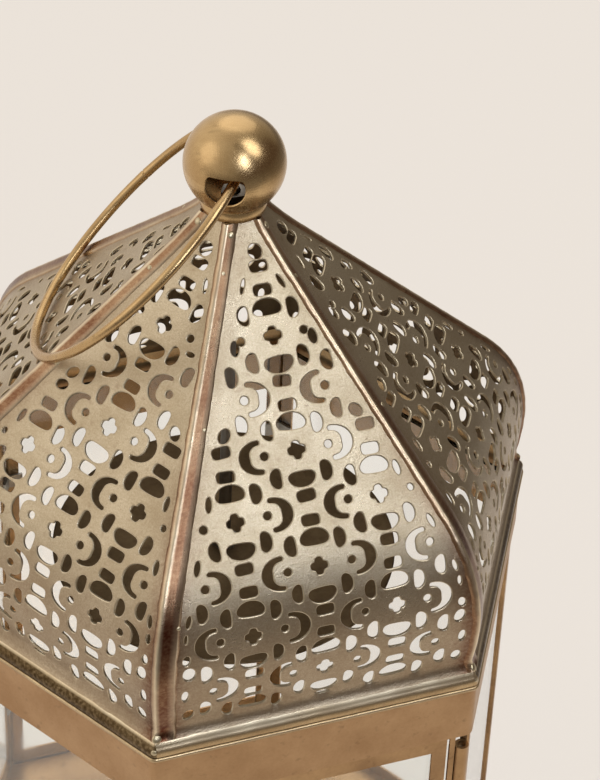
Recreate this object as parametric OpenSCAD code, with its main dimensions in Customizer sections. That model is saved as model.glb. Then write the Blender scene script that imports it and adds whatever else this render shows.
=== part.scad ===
// Hexagonal candle lantern.
//
// A glazed six-sided body with a hinged door stands under a pierced dome of six curved
// sheet panels. Folded caps cover the dome's seams, a hollow ball crowns it, and a loose
// round ring passes through the ball as a handle.
//
// Origin: centre of the footprint, on the table. +Z is up and the door faces -Y.
// "Apothem" is a distance from the lantern's axis to the flat of a hexagon.

/* [Overall] */
// Eave lip, corner to corner
eave_across_corners = 204; // [196:1:214]
// Height of the eave lip's lower edge above the table
eave_z = 190; // [170:1:230]
// Sheet metal thickness
sheet = 0.8; // [0.7:0.05:1]

/* [Bands and base] */
// Height of the plain band under the eave, and of the base skirt
band_h = 19.5; // [16:0.5:24]
// How far the bands stand back from the eave lip
band_setback = 0.8; // [0.6:0.05:1.2]
// Outside bend radius at the bands' corners
band_bend_r = 3.5; // [2.5:0.25:4]
// Thickness of the felt pads
pad_h = 2; // [1:0.25:3]
// Radius of the felt pads
pad_r = 4; // [3:0.25:4]
// Width of the flat foot rim
foot_rim_w = 8.4; // [8.2:0.1:10]
// Thickness of the foot rim
foot_rim_h = 1.4; // [1:0.1:2]
// Drop of the floor plate below the skirt's top edge
floor_drop = 4.7; // [3.5:0.1:6]
// Height of the floor plate's turned-down edge
floor_edge_h = 6; // [4:0.5:8]

/* [Eave] */
// Height of the rolled lip
lip_h = 1.4; // [1:0.1:1.8]
// How far the sloped skirt starts behind the lip
lip_step = 0.6; // [0.4:0.05:0.9]
// Height of the crest above the lip's lower edge
crest_h = 6.4; // [5:0.1:8]
// How far the crest lies behind the lip
crest_setback = 1.93; // [1.6:0.01:2.4]

/* [Dome profile] */
// Lean of the panel where it leaves the crest, from vertical (negative leans in)
flare_lean = -43.5; // [-50:0.5:-38]
// Length of the flare above the crest
flare_len = 5.4; // [4.5:0.1:6.5]
// Turn of the flare
flare_turn = 54; // [50:0.5:56]
// Length of the wall
wall_len = 12.4; // [8:0.1:18]
// Turn of the wall
wall_turn = -8.7; // [-12:0.1:-5]
// Length of the shoulder's bend
shoulder_len = 39.7; // [34:0.1:44]
// Turn of the shoulder's bend
shoulder_turn = -45.4; // [-48:0.1:-42]
// Length of the bend at the neck
neck_len = 16; // [10:0.5:20]
// Turn of the bend at the neck
neck_turn = 7.6; // [4:0.1:10]
// Apothem of the panels' top edge
neck_apothem = 8.4; // [8:0.1:10]

/* [Piercing] */
// Distance between columns of motifs
column_pitch = 22; // [20:0.5:26]
// Distance between rows of motifs in one column
row_pitch = 33.75; // [31:0.25:38]
// Height of the first row of flowers, along the panel from the crest
first_row = 16.6; // [15:0.1:20]
// Plain border at the panel's lapped edge
lapped_border = 7.4; // [6.5:0.1:9]
// Plain border at the panel's other edge
plain_border = 3.2; // [2.5:0.1:5]
// Plain border along the crest
crest_border = 4.4; // [4:0.1:8]
// Plain border at the neck
neck_border = 4; // [2:0.5:10]
// Tip radius of the flower
flower_r = 3; // [2.4:0.1:3.3]
// Radius of the round holes
dot_r = 1.25; // [0.9:0.05:1.5]
// Outer radius of the crescent
crescent_r = 4.9; // [4:0.1:5.2]

/* [Seam caps] */
// Thickness of the folded caps over the seams
cap_t = 0.6; // [0.5:0.05:0.8]
// Width of a cap's wide side at the eave
cap_w_eave = 5.8; // [5:0.1:6.4]
// Width of a cap's wide side at the neck
cap_w_neck = 3; // [2:0.1:4]
// Width of a cap's narrow side
cap_narrow_w = 1.6; // [1.2:0.1:2]

/* [Finial and ring] */
// Radius of the ball
ball_r = 15; // [14:0.5:17]
// Wall of the ball
ball_wall = 1.2; // [0.8:0.1:1.5]
// Radius of the ball's side holes
ball_hole_r = 6; // [5.5:0.1:6.5]
// Height of the holes' flat top above the ball's centre
ball_hole_flat = 3.6; // [3.5:0.1:5]
// Radius of the neck collar under the ball
collar_r = 9.7; // [9.2:0.1:11]
// Radius of the ring's wire
ring_wire_r = 1.5; // [1.3:0.05:1.6]
// Radius of the ring, at the middle of its wire
ring_r = 45.4; // [44:0.1:47]
// How far beyond the pivot the ring's wire passes through the ball
ring_past_pivot = 4.4; // [3.4:0.1:5.4]
// Gap between the resting ring's lowest point and the level of the seam caps
ring_rest_gap = 0.15; // [0.1:0.05:0.4]

/* [Rod and shield] */
// Radius of the tie rod
rod_r = 2; // [1.5:0.1:2.2]
// Height of its nuts
nut_h = 3.2; // [2.4:0.1:4]
// Half the width of its nuts, across corners
nut_r = 4; // [3.5:0.1:4.3]
// Radius of the heat shield
shield_r = 54; // [40:1:60]
// Thickness of the heat shield
shield_t = 1; // [0.8:0.1:1.5]
// Depth of the heat shield below the eave lip
shield_drop = 4.5; // [3:0.5:8]

/* [Glazing] */
// Thickness of the glass
glass_t = 2; // [1.8:0.1:2.2]
// Width of each leg of a corner post
post_leg = 6; // [5.5:0.1:7]
// Gap between a pane's edge and the corner's mitre
pane_edge_gap = 0.5; // [0.4:0.05:0.8]
// Height of the clips that hold the glass
clip_h = 5; // [3:0.5:8]

/* [Door] */
// Width of the door frame's members
door_member = 4.7; // [4.2:0.1:5.4]
// Gap between the door and the corner posts
door_side_gap = 1.06; // [0.8:0.02:1.4]
// Gap above and below the door
door_end_gap = 0.5; // [0.4:0.05:1]
// How far the door's face stands proud of the posts
door_proud = 0.15; // [0.1:0.05:0.25]
// Depth of the door frame's rim
door_rim = 3.5; // [3.3:0.1:4]
// Height of the knob above the table
knob_z = 96; // [80:1:130]
// Radius of the knob
knob_r = 3.2; // [2.4:0.1:3.6]
// Height of the latch's pivot above the table
latch_z = 78; // [50:1:84]
// Length of the latch button from its pivot
latch_reach = 9; // [8:0.5:10]
// Width of the latch button
latch_w = 5; // [4:0.25:5.2]

/* [Hinge] */
// Radius of the hinge barrels
barrel_r = 2.2; // [1.9:0.05:2.3]
// Radius of the hinge pin
pin_r = 1.2; // [1:0.05:1.3]
// Radial running clearance on the pin
pin_play = 0.05; // [0.03:0.01:0.08]
// How far the topmost barrel starts below the band
barrel_drop = 4.7; // [3:0.1:7]
// Length of the door's barrel
door_barrel_len = 60; // [40:1:80]
// Gap between barrels
barrel_gap = 0.3; // [0.2:0.05:0.5]

/* [Hidden] */

SIDES = 6;
TURN = 360 / SIDES;
HALF = TURN / 2;
FINE = 64;
FIT = 0.05;     // face gap of pieces that slide together on assembly
CLEAR = 0.3;    // air left round a piece that must not touch
EPS = 0.01;     // overrun of cutting tools

brass = "#b08d5b";
dark_brass = "#8a6d48";
pale_brass = "#c9ad7c";
steel = "#8d8a84";
glass_tint = [0.9, 0.95, 0.95, 0.35];

// Plan sizes, as apothems unless they are named otherwise
lip_a = eave_across_corners / 2 * cos(HALF);
band_a = lip_a - band_setback;
frame_a = band_a - sheet;           // posts stand inside the bands
pane_a = frame_a - sheet;           // glass lies against the posts
pane_back_a = pane_a - glass_t;
crest_a = lip_a - crest_setback;
corner_x = frame_a * tan(HALF);     // half the width of a face at the posts
leg_end_x = corner_x - post_leg;    // inner end of a post's leg on the door side

// Heights
foot_top = pad_h + foot_rim_h;
skirt_top = pad_h + band_h;
band_bottom = eave_z - band_h;
floor_top = skirt_top - floor_drop;
post_top = eave_z - sheet;
crest_z = eave_z + crest_h;

// Dome profile: a path walked from the crest to the neck, as [apothem, height] points
function walk(p, lean, len, turn, n, i = 0) =
    i == n ? [] :
    let (a = lean + turn * (i + 0.5) / n, q = p + len / n * [sin(a), cos(a)])
    concat([q], walk(q, lean, len, turn, n, i + 1));
function last(v) = v[len(v) - 1];

wall_lean = flare_lean + flare_turn;
shoulder_lean = wall_lean + wall_turn;
roof_lean = shoulder_lean + shoulder_turn;
roof_slope = 90 + roof_lean;        // below the horizontal
crest = [crest_a, crest_z];
flare_pts = walk(crest, flare_lean, flare_len, flare_turn, 3);
wall_pts = walk(last(flare_pts), wall_lean, wall_len, wall_turn, 2);
shoulder_pts = walk(last(wall_pts), shoulder_lean, shoulder_len, shoulder_turn, 8);
neck_reach = last(walk([0, 0], roof_lean, neck_len, neck_turn, 3))[0];
roof_len = (neck_apothem - neck_reach - last(shoulder_pts)[0]) / sin(roof_lean);
roof_pts = walk(last(shoulder_pts), roof_lean, roof_len, 0, 1);
neck_pts = walk(last(roof_pts), roof_lean, neck_len, neck_turn, 3);
profile = concat([crest], flare_pts, wall_pts, shoulder_pts, roof_pts, neck_pts);
neck_z = last(profile)[1];

// Unit direction of a stretch of the profile, and the outward normals at its ends
stretches = len(profile) - 1;
function along(i) = let (d = profile[i + 1] - profile[i]) d / norm(d);
function outward(i) =
    let (d = along(max(i - 1, 0)) + along(min(i, stretches - 1)), u = d / norm(d)) [u[1], -u[0]];
function shifted(d) = [for (i = [0 : stretches]) profile[i] + d * outward(i)];
function turned(p, a) = [p[0] * cos(a) - p[1] * sin(a), p[0] * sin(a) + p[1] * cos(a)];
function reversed(v) = [for (i = [len(v) - 1 : -1 : 0]) v[i]];
function run(i) = i == 0 ? 0 : run(i - 1) + norm(profile[i] - profile[i - 1]);
profile_len = run(stretches);
// Point and lean at a length s along the profile
function spot(s, i = 0) =
    s <= norm(profile[i + 1] - profile[i]) || i == stretches - 1
        ? [profile[i] + s * along(i), atan2(along(i)[0], along(i)[1])]
        : spot(s - norm(profile[i + 1] - profile[i]), i + 1);

// Finial and ring heights
cap_rise = cap_t * sin(-roof_lean - neck_turn);
collar_z = neck_z + cap_rise + FIT;
collar_seat_r = ball_r + FIT;
collar_top_dz = sqrt(pow(collar_seat_r, 2) - pow(collar_r, 2));
ball_z = collar_z + EPS + collar_seat_r;
collar_top = ball_z - collar_top_dz;
spigot_r = neck_apothem - sheet / cos(roof_lean + neck_turn) - CLEAR;
spigot_len = 5;

// The ring turns about a line on which its wire just clears the bottom of the ball's holes
ring_reach = ring_r - ring_past_pivot;
hole_depth = sqrt(pow(ball_r - ball_wall, 2) - pow(ball_hole_r, 2));
wire_swing_r = sqrt(pow(ring_r, 2) - pow(hole_depth, 2)) - ring_reach + ring_wire_r;
pivot_z = ball_z - ball_hole_r + wire_swing_r + CLEAR;
ring_azimuth = 150;                 // the resting ring lies over the middle of a panel

// Angle of the resting ring below the horizontal, from its lowest point's gap to the roof
pivot_over_roof = ([0, pivot_z] - last(shoulder_pts)) * [sin(roof_slope), cos(roof_slope)];
ring_rest_angle = roof_slope
    + asin((pivot_over_roof - ring_wire_r - cap_t - ring_rest_gap) / (ring_reach + ring_r));

// Tie rod: its nuts sit in the ball, under the collar and round the shield
ball_nut_z = ball_z - sqrt(pow(ball_r - ball_wall, 2) - pow(nut_r, 2)) + FIT;
neck_nut_z = collar_z - spigot_len - nut_h;
shield_z = eave_z - shield_drop;
rod_tail = 2;
rod_head = 1;
rod_top = ball_nut_z + nut_h + rod_head;
rod_bottom = shield_z - nut_h - rod_tail;

// Door and hinge plan
door_x = leg_end_x - door_side_gap;
door_bottom = skirt_top + door_end_gap;
door_top = band_bottom - door_end_gap;
door_face = frame_a + door_proud;
door_open_x = door_x - door_member;
door_glass_lap = 3;
hinge_a = lip_a - barrel_r - FIT / 2;
hinge_inset = 1.86;                 // from the edge where the posts' faces meet
hinge_x = corner_x - hinge_inset;
bore_r = pin_r + pin_play;
notch_r = barrel_r + CLEAR;
barrel_top = band_bottom - barrel_drop;
barrel_bottom = skirt_top + barrel_drop;
door_barrel_z = (barrel_top + barrel_bottom - door_barrel_len) / 2;
pin_low_inset = 1;
pin_high_inset = 2;
latch_x = corner_x - post_leg / 2;
latch_pin_r = 1.25;
latch_t = 1;
latch_back = door_face + 2 * FIT;
knob_x = door_x - door_member / 2;
knob_stem_r = knob_r / 3;
// Knob outline from its foot to its tip, as [share of the knob's radius, height]
knob_outline = [[1, 0], [1, 0.6], [0.5, 1.2], [0.5, 1.8], [0.9, 2.6], [1, 3.4], [0.85, 4.3],
    [0.5, 4.8], [0, 5]];

// Heights of the glass clips, as shares of what they hold
pane_clip_shares = [0.18, 0.78];
door_clip_shares = [0.2, 0.5, 0.8];

// ---------------------------------------------------------------- helpers

// Turns a face drawn at the door's side to another side
module on_side(k) {
    rotate([0, 0, TURN * k]) children();
}

// A sector of the plan, one side of the hexagon wide
module sector(reach) {
    polygon([[0, 0], [-reach * tan(HALF), -reach], [reach * tan(HALF), -reach]]);
}

// Stands a drawing of [apothem, height] points up across the door's side
module across_side(width) {
    rotate([90, 0, -90]) linear_extrude(width, center = true) children();
}

// An outline of [apothem, height] points, mitred round all six sides
module round_the_hexagon(outline) {
    rotate_extrude($fn = SIDES) polygon([for (q = outline) [q[0] / cos(HALF), q[1]]]);
}

// Hexagon with true arcs at its corners, flats facing -Y
module bent_hexagon(a, bend) {
    centre_r = (a - bend) / cos(HALF);
    offs = bend * tan(HALF);
    half = a * tan(HALF) - offs;
    polygon([for (k = [0 : SIDES - 1], s = [-1, 1])
        let (w = TURN * k) [s * half * cos(w) + a * sin(w), s * half * sin(w) - a * cos(w)]]);
    for (k = [0 : SIDES - 1]) rotate(TURN * k) translate([centre_r, 0])
        circle(bend, $fn = FINE);
}

// Tube of band sheet with bent corners
module bent_band(z0, z1) {
    translate([0, 0, z0]) linear_extrude(z1 - z0) difference() {
        bent_hexagon(band_a, band_bend_r);
        bent_hexagon(frame_a, band_bend_r - sheet);
    }
}

// Box from its lowest to its highest corner
module span(lo, hi) {
    translate(lo) cube(hi - lo);
}

// Box in front of the door's side, from apothem a0 in to apothem a1
module plate(x0, x1, a0, a1, z0, z1) {
    span([x0, -a0, z0], [x1, -a1, z1]);
}

// ---------------------------------------------------------------- base

module felt_pads() {
    pad_centre = (lip_a - foot_rim_w / 2) / cos(HALF);
    color("#4b4640") for (k = [0 : SIDES - 1]) rotate(TURN * k) translate([pad_centre, 0])
        cylinder(pad_h, r = pad_r, $fn = FINE);
}

module foot_rim() {
    inner_a = lip_a - foot_rim_w;
    color(brass) round_the_hexagon([
        [inner_a, pad_h], [lip_a, pad_h], [lip_a, foot_top], [inner_a, foot_top]]);
}

module base_skirt() {
    color(brass) bent_band(foot_top, skirt_top);
}

module floor_plate() {
    edge_bend = band_bend_r - sheet + FIT;
    color(dark_brass) difference() {
        translate([0, 0, floor_top - floor_edge_h]) linear_extrude(floor_edge_h)
            bent_hexagon(frame_a, edge_bend);
        translate([0, 0, floor_top - floor_edge_h - EPS]) linear_extrude(floor_edge_h - sheet + EPS)
            bent_hexagon(frame_a - sheet, edge_bend - sheet);
    }
}

// ---------------------------------------------------------------- posts and glass

// Plan of a corner post: a bent angle, drawn at the right-hand corner of the door's side
module post_plan() {
    outer = frame_a / cos(HALF);
    inner = pane_a / cos(HALF);
    leg = post_leg * [sin(HALF), cos(HALF)];
    tip = [outer - leg[0], leg[1]];
    back = tip - sheet * [cos(HALF), sin(HALF)];
    rotate(-TURN) intersection() {
        bent_hexagon(frame_a, band_bend_r - sheet + 2 * FIT);
        polygon([[outer, 0], tip, back, [inner, 0], [back[0], -back[1]], [tip[0], -tip[1]]]);
    }
}

module post_sheet(k) {
    on_side(k) translate([0, 0, floor_top]) linear_extrude(post_top - floor_top) post_plan();
}

module plain_post(k) {
    color(brass) post_sheet(k);
}

// The hinge post gives way to the hinge barrels between the skirt and the band
module hinge_post() {
    color(brass) difference() {
        post_sheet(0);
        translate([hinge_x, -hinge_a, skirt_top])
            cylinder(band_bottom - skirt_top, r = notch_r, $fn = FINE);
        plate(hinge_x, corner_x + post_leg, lip_a, hinge_a - notch_r / 2, skirt_top, band_bottom);
    }
}

// The latch post is drilled for the latch rivet
module latch_post() {
    color(brass) difference() {
        post_sheet(SIDES - 1);
        translate([-latch_x, -pane_a + EPS, latch_z]) rotate([90, 0, 0])
            cylinder(sheet + 2 * EPS, r = latch_pin_r + FIT, $fn = FINE);
    }
}

module glass_pane(k) {
    half = pane_back_a * tan(HALF) - pane_edge_gap;
    color(glass_tint) on_side(k)
        plate(-half, half, pane_a, pane_back_a, floor_top, post_top - sheet);
}

// Folded clip behind the edges of two panes, joined to the post by a web between them
module pane_clip(left, right) {
    corner = pane_back_a / cos(HALF);
    inner = (pane_back_a - sheet) / cos(HALF);
    leg = (post_leg - sheet) * [sin(HALF), cos(HALF)];
    web = pane_edge_gap * 0.6;
    reach = pane_a / cos(HALF) - web * tan(HALF);
    rotate(-TURN) linear_extrude(clip_h) {
        for (s = [left ? -1 : 0, right ? 1 : 0]) if (s != 0) polygon([
            [corner, 0], [corner - leg[0], s * leg[1]],
            [corner - leg[0] - sheet * cos(HALF), s * (leg[1] - sheet * sin(HALF))], [inner, 0]]);
        translate([inner, -web / 2]) square([reach - inner, web]);
    }
}

module pane_clips() {
    body_h = post_top - floor_top;
    color(steel) for (k = [1 : SIDES - 1], share = pane_clip_shares)
        translate([0, 0, floor_top + share * body_h]) on_side(k)
            pane_clip(true, k < SIDES - 1);
}

// ---------------------------------------------------------------- eave and dome

module top_band() {
    color(brass) bent_band(band_bottom, eave_z);
}

// Rolled lip, sloped skirt and crest, seated on the band
module eave_rim() {
    under_crest = shifted(-sheet)[0];
    color(pale_brass) round_the_hexagon([
        [frame_a, eave_z], [lip_a, eave_z], [lip_a, eave_z + lip_h],
        [lip_a - lip_step, eave_z + lip_h + sheet / 4], crest, under_crest,
        [frame_a, eave_z + lip_h]]);
}

// Pierced motif shapes, drawn about their own centres with y up the panel

module flower() {
    polygon([for (i = [0 : 7]) (i % 2 == 0 ? flower_r : 0.6 * flower_r) * [cos(45 * i), sin(45 * i)]]);
}

module half_moon(w, h) {
    polygon([for (a = [0 : 36 : 180]) [w / 2 * cos(a), h * (sin(a) - 0.5)]]);
}

module slot_hole(w, h, cut) {
    polygon([
        [-w / 2, cut - h / 2], [cut - w / 2, -h / 2], [w / 2 - cut, -h / 2], [w / 2, cut - h / 2],
        [w / 2, h / 2 - cut], [w / 2 - cut, h / 2], [cut - w / 2, h / 2], [-w / 2, h / 2 - cut]]);
}

// An arc bulging to the right, with a smaller arc bitten out of it
module crescent() {
    tips = 105;
    bite_r = 0.72 * crescent_r;
    bite_tips = 75;
    waist_x = 0.65 * crescent_r;
    polygon(concat(
        [for (a = [-tips : tips / 3 : tips]) crescent_r * [cos(a), sin(a)]],
        [for (a = [bite_tips : -bite_tips / 2 : -bite_tips])
            [bite_r * cos(a) + waist_x - bite_r, bite_r * sin(a)]]));
}

// Sizes of the motifs round a flower, and their places from its centre
bean = [3, 5.2];
bean_at = [7.6, 7];
moon = [8, 4.3];
moon_at = 8.6;
bar = [5.4, 3.4];
bar_at = 13.4;
dot_at = 9.7;
crescent_at = 12.5;

// Motifs of one flower: [kind, x, y, half extent across, half extent along]
motifs = concat(
    [["flower", 0, 0, flower_r, flower_r]],
    [for (s = [-1, 1]) ["dot", dot_at * s, 0, dot_r, dot_r]],
    [for (s = [-1, 1]) [s > 0 ? "crescent_right" : "crescent_left",
        crescent_at * s, 0, crescent_r, crescent_r]],
    [for (s = [-1, 1], t = [-1, 1]) [s > 0 ? "bean_right" : "bean_left",
        bean_at[0] * s, bean_at[1] * t, bean[0] / 2, bean[1] / 2]],
    [for (t = [-1, 1]) [t > 0 ? "moon_up" : "moon_down", 0, moon_at * t, moon[0] / 2, moon[1] / 2]],
    [for (t = [-1, 1]) ["bar", 0, bar_at * t, bar[0] / 2, bar[1] / 2]]);

module motif(kind) {
    if (kind == "flower") flower();
    if (kind == "dot") circle(dot_r, $fn = FINE);
    if (kind == "crescent_right") crescent();
    if (kind == "crescent_left") mirror([1, 0]) crescent();
    if (kind == "bean_right") rotate(-90) half_moon(bean[1], bean[0]);
    if (kind == "bean_left") rotate(90) half_moon(bean[1], bean[0]);
    if (kind == "moon_up") half_moon(moon[0], moon[1]);
    if (kind == "moon_down") rotate(180) half_moon(moon[0], moon[1]);
    if (kind == "bar") slot_hole(bar[0], bar[1], 1);
}

pattern_shift = (lapped_border - plain_border) / 2;
columns = ceil(corner_x / column_pitch);
rows = ceil(profile_len / row_pitch);

// True if a motif of half width hx and half height hy lies inside the pierced field
function half_side(s) = spot(s)[0][0] * tan(HALF);
function in_field(x, s, hx, hy) =
    s - hy >= crest_border && s + hy <= profile_len - neck_border
    && x - hx >= lapped_border - min(half_side(s - hy), half_side(s + hy))
    && x + hx <= min(half_side(s - hy), half_side(s + hy)) - plain_border;

// Cutters for every motif that fits the field, each square to the panel
module piercing() {
    punch_len = 6 * sheet;
    for (c = [-columns : columns], r = [-1 : rows], m = motifs) {
        x = pattern_shift + c * column_pitch + m[1];
        s = first_row + (r + (c % 2 == 0 ? 0 : 0.5)) * row_pitch + m[2];
        if (in_field(x, s, m[3], m[4])) {
            at = spot(s);
            translate([x, -at[0][0], at[0][1]]) rotate([90 + at[1], 0, 0])
                linear_extrude(punch_len, center = true) motif(m[0]);
        }
    }
}

module dome_panel(k) {
    color(pale_brass) on_side(k) difference() {
        intersection() {
            across_side(2 * lip_a) polygon(concat(profile, reversed(shifted(-sheet))));
            linear_extrude(3 * eave_z) sector(lip_a);
        }
        piercing();
    }
}

// One side of the caps' sheet, over the whole face of a panel
module cap_side(k) {
    on_side(k) intersection() {
        across_side(2 * lip_a) polygon(concat(shifted(cap_t), reversed(profile)));
        linear_extrude(3 * eave_z) sector(lip_a);
    }
}

// Folded cap on the seam at the left of side k, wide on that side and narrow on the last one
module seam_cap(k) {
    ends = [lip_a, neck_apothem - sheet];
    wide = [for (i = [0, 1]) [[cap_w_eave, cap_w_neck][i] - ends[i] * tan(HALF), -ends[i]]];
    narrow = [for (i = [1, 0]) turned([ends[i] * tan(HALF) - cap_narrow_w, -ends[i]], -TURN)];
    color(brass) on_side(k) intersection() {
        union() {
            cap_side(0);
            cap_side(-1);
        }
        linear_extrude(3 * eave_z) polygon(concat(wide, narrow, [[-ends[0] * tan(HALF), -ends[0]]]));
    }
}

// ---------------------------------------------------------------- finial, rod and shield

module neck_collar() {
    color(brass) difference() {
        union() {
            translate([0, 0, collar_z]) cylinder(collar_top - collar_z, r = collar_r, $fn = FINE);
            translate([0, 0, collar_z - spigot_len]) cylinder(spigot_len + EPS, r = spigot_r, $fn = FINE);
        }
        translate([0, 0, ball_z]) sphere(collar_seat_r, $fn = FINE);
        translate([0, 0, collar_z - spigot_len - EPS])
            cylinder(spigot_len + 2 * sheet, r = rod_r + FIT, $fn = FINE);
    }
}

module finial_ball() {
    reach = ball_r + ball_wall;
    color(pale_brass) translate([0, 0, ball_z]) difference() {
        sphere(ball_r, $fn = FINE);
        sphere(ball_r - ball_wall, $fn = FINE);
        translate([0, 0, -ball_r - EPS]) cylinder(ball_r, r = rod_r + FIT, $fn = FINE);
        intersection() {
            rotate([90, 0, ring_azimuth])
                cylinder(2 * reach, r = ball_hole_r, center = true, $fn = FINE);
            span([-reach, -reach, -reach], [reach, reach, ball_hole_flat]);
        }
    }
}

// Round wire ring, lying back on the two seams beside the panel at ring_azimuth
module carrying_ring() {
    color(brass) translate([0, 0, pivot_z]) rotate([0, ring_rest_angle, ring_azimuth])
        translate([ring_reach, 0, 0]) rotate_extrude($fn = 2 * FINE)
            translate([ring_r, 0]) circle(ring_wire_r, $fn = 24);
}

module tie_rod() {
    color(steel) translate([0, 0, rod_bottom]) cylinder(rod_top - rod_bottom, r = rod_r, $fn = FINE);
}

module nut(z) {
    translate([0, 0, z]) difference() {
        cylinder(nut_h, r = nut_r, $fn = 6);
        translate([0, 0, -EPS]) cylinder(nut_h + 2 * EPS, r = rod_r, $fn = FINE);
    }
}

module tie_rod_nuts() {
    color(steel) {
        nut(ball_nut_z);
        nut(neck_nut_z);
        nut(shield_z + shield_t);
        nut(shield_z - nut_h);
    }
}

module heat_shield() {
    color(dark_brass) translate([0, 0, shield_z]) difference() {
        cylinder(shield_t, r = shield_r, $fn = FINE);
        translate([0, 0, -EPS]) cylinder(shield_t + 2 * EPS, r = rod_r + FIT, $fn = FINE);
    }
}

// ---------------------------------------------------------------- door

module door_frame() {
    rim_back = door_face - door_rim;
    color(brass) difference() {
        plate(-door_x, door_x, door_face, rim_back, door_bottom, door_top);
        plate(-door_open_x, door_open_x, door_face + 1, rim_back,
            door_bottom + door_member, door_top - door_member);
        plate(sheet - door_x, door_x - sheet, door_face - sheet, rim_back - 1,
            door_bottom + sheet, door_top - sheet);
        translate([-knob_x, -door_face + sheet + EPS, knob_z]) rotate([90, 0, 0])
            cylinder(sheet + 2 * EPS, r = knob_stem_r + FIT, $fn = FINE);
    }
}

module door_glass() {
    half = door_open_x + door_glass_lap;
    front = door_face - sheet;
    color(glass_tint) plate(-half, half, front, front - glass_t,
        door_bottom + door_member - door_glass_lap, door_top - door_member + door_glass_lap);
}

// Tabs that reach from the rim over the back of the door glass
module door_glass_clips() {
    back = door_face - sheet - glass_t;
    reach = door_member;
    half_h = clip_h / 2;
    color(steel) for (s = [-1, 1], share = door_clip_shares) {
        z = door_bottom + share * (door_top - door_bottom);
        x = s * (door_x - sheet - reach / 2);
        plate(x - reach / 2, x + reach / 2, back, back - sheet + FIT, z - half_h, z + half_h);
    }
}

// Angles behind the head and sill, against which the door closes
module door_stops() {
    front = door_face - door_rim - FIT;
    back = front - sheet;
    half = door_open_x;
    lap = 3;
    color(brass) {
        plate(-half, half, front, back, door_top - lap, band_bottom + lap);
        plate(-half, half, frame_a, back, band_bottom + lap - sheet, band_bottom + lap);
        plate(-half, half, front, back, floor_top, door_bottom + lap);
    }
}

// ---------------------------------------------------------------- hinge, knob and latch

module barrel(z0, z1) {
    translate([hinge_x, -hinge_a, z0]) difference() {
        children();
        translate([0, 0, -EPS]) cylinder(z1 - z0 + 2 * EPS, r = bore_r, $fn = FINE);
    }
}

// Barrel with a leaf lapped on the face of the door's stile
module door_hinge_barrel() {
    z0 = door_barrel_z;
    z1 = z0 + door_barrel_len;
    back = hinge_a - door_face;
    leaf_end = door_x - door_member + sheet;
    root = -sqrt(pow(bore_r + FIT, 2) - pow(back, 2)) - FIT;
    color(brass) barrel(z0, z1) {
        union() {
            cylinder(z1 - z0, r = barrel_r, $fn = FINE);
            span([leaf_end - hinge_x, back - sheet, 0], [root, back, z1 - z0]);
        }
    }
}

// Two barrels with leaves behind the hinge post's front leg
module frame_hinge_barrels() {
    ends = [[barrel_bottom, door_barrel_z - barrel_gap],
        [door_barrel_z + door_barrel_len + barrel_gap, barrel_top]];
    color(brass) for (e = ends) barrel(e[0], e[1]) {
        union() {
            cylinder(e[1] - e[0], r = barrel_r, $fn = FINE);
            span([leg_end_x + CLEAR - hinge_x, hinge_a - pane_a, 0],
                [-bore_r - CLEAR, hinge_a - pane_a + sheet, e[1] - e[0]]);
        }
    }
}

module hinge_pin() {
    low_end = barrel_bottom + pin_low_inset;
    high_end = barrel_top - pin_high_inset;
    color(steel) translate([hinge_x, -hinge_a, low_end])
        cylinder(high_end - low_end, r = pin_r, $fn = FINE);
}

module door_knob() {
    color(pale_brass) translate([-knob_x, -door_face, knob_z]) rotate([90, 0, 0]) {
        translate([0, 0, -sheet]) cylinder(sheet + EPS, r = knob_stem_r, $fn = FINE);
        rotate_extrude($fn = FINE)
            polygon(concat([[0, 0]], [for (q = knob_outline) [q[0] * knob_r, q[1]]]));
    }
}

// Turn button, hanging down when open
module latch_button() {
    color(pale_brass) translate([-latch_x, -latch_back, latch_z]) rotate([90, 0, 0])
        linear_extrude(latch_t) difference() {
            union() {
                circle(latch_w / 2, $fn = FINE);
                translate([-latch_w / 2, latch_w / 2 - latch_reach])
                    square([latch_w, latch_reach - latch_w / 2]);
                translate([0, latch_w / 2 - latch_reach]) circle(latch_w / 2, $fn = FINE);
            }
            circle(latch_pin_r + FIT, $fn = FINE);
        }
}

// Rivet through the button and the post, with a washer face between them
module latch_rivet() {
    head_r = 1.6 * latch_pin_r;
    head_a = latch_back + latch_t + FIT;
    color(steel) translate([-latch_x, 0, latch_z]) rotate([90, 0, 0]) {
        translate([0, 0, pane_a - sheet]) cylinder(sheet, r = head_r, $fn = FINE);
        translate([0, 0, pane_a - EPS]) cylinder(head_a - pane_a + EPS, r = latch_pin_r, $fn = FINE);
        translate([0, 0, head_a]) cylinder(sheet, r = head_r, $fn = FINE);
    }
}

felt_pads();
foot_rim();
base_skirt();
floor_plate();
hinge_post();  // corner_post_1
plain_post(1);  // corner_post_2
plain_post(2);  // corner_post_3
plain_post(3);  // corner_post_4
plain_post(4);  // corner_post_5
latch_post();  // corner_post_6
glass_pane(1);  // glass_pane_1
glass_pane(2);  // glass_pane_2
glass_pane(3);  // glass_pane_3
glass_pane(4);  // glass_pane_4
glass_pane(5);  // glass_pane_5
pane_clips();
top_band();
eave_rim();
dome_panel(0);  // dome_panel_1
dome_panel(1);  // dome_panel_2
dome_panel(2);  // dome_panel_3
dome_panel(3);  // dome_panel_4
dome_panel(4);  // dome_panel_5
dome_panel(5);  // dome_panel_6
seam_cap(0);  // seam_cap_1
seam_cap(1);  // seam_cap_2
seam_cap(2);  // seam_cap_3
seam_cap(3);  // seam_cap_4
seam_cap(4);  // seam_cap_5
seam_cap(5);  // seam_cap_6
neck_collar();
finial_ball();
tie_rod();
tie_rod_nuts();
heat_shield();
carrying_ring();
door_frame();
door_glass();
door_glass_clips();
door_stops();
door_hinge_barrel();
frame_hinge_barrels();
hinge_pin();
door_knob();
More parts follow.
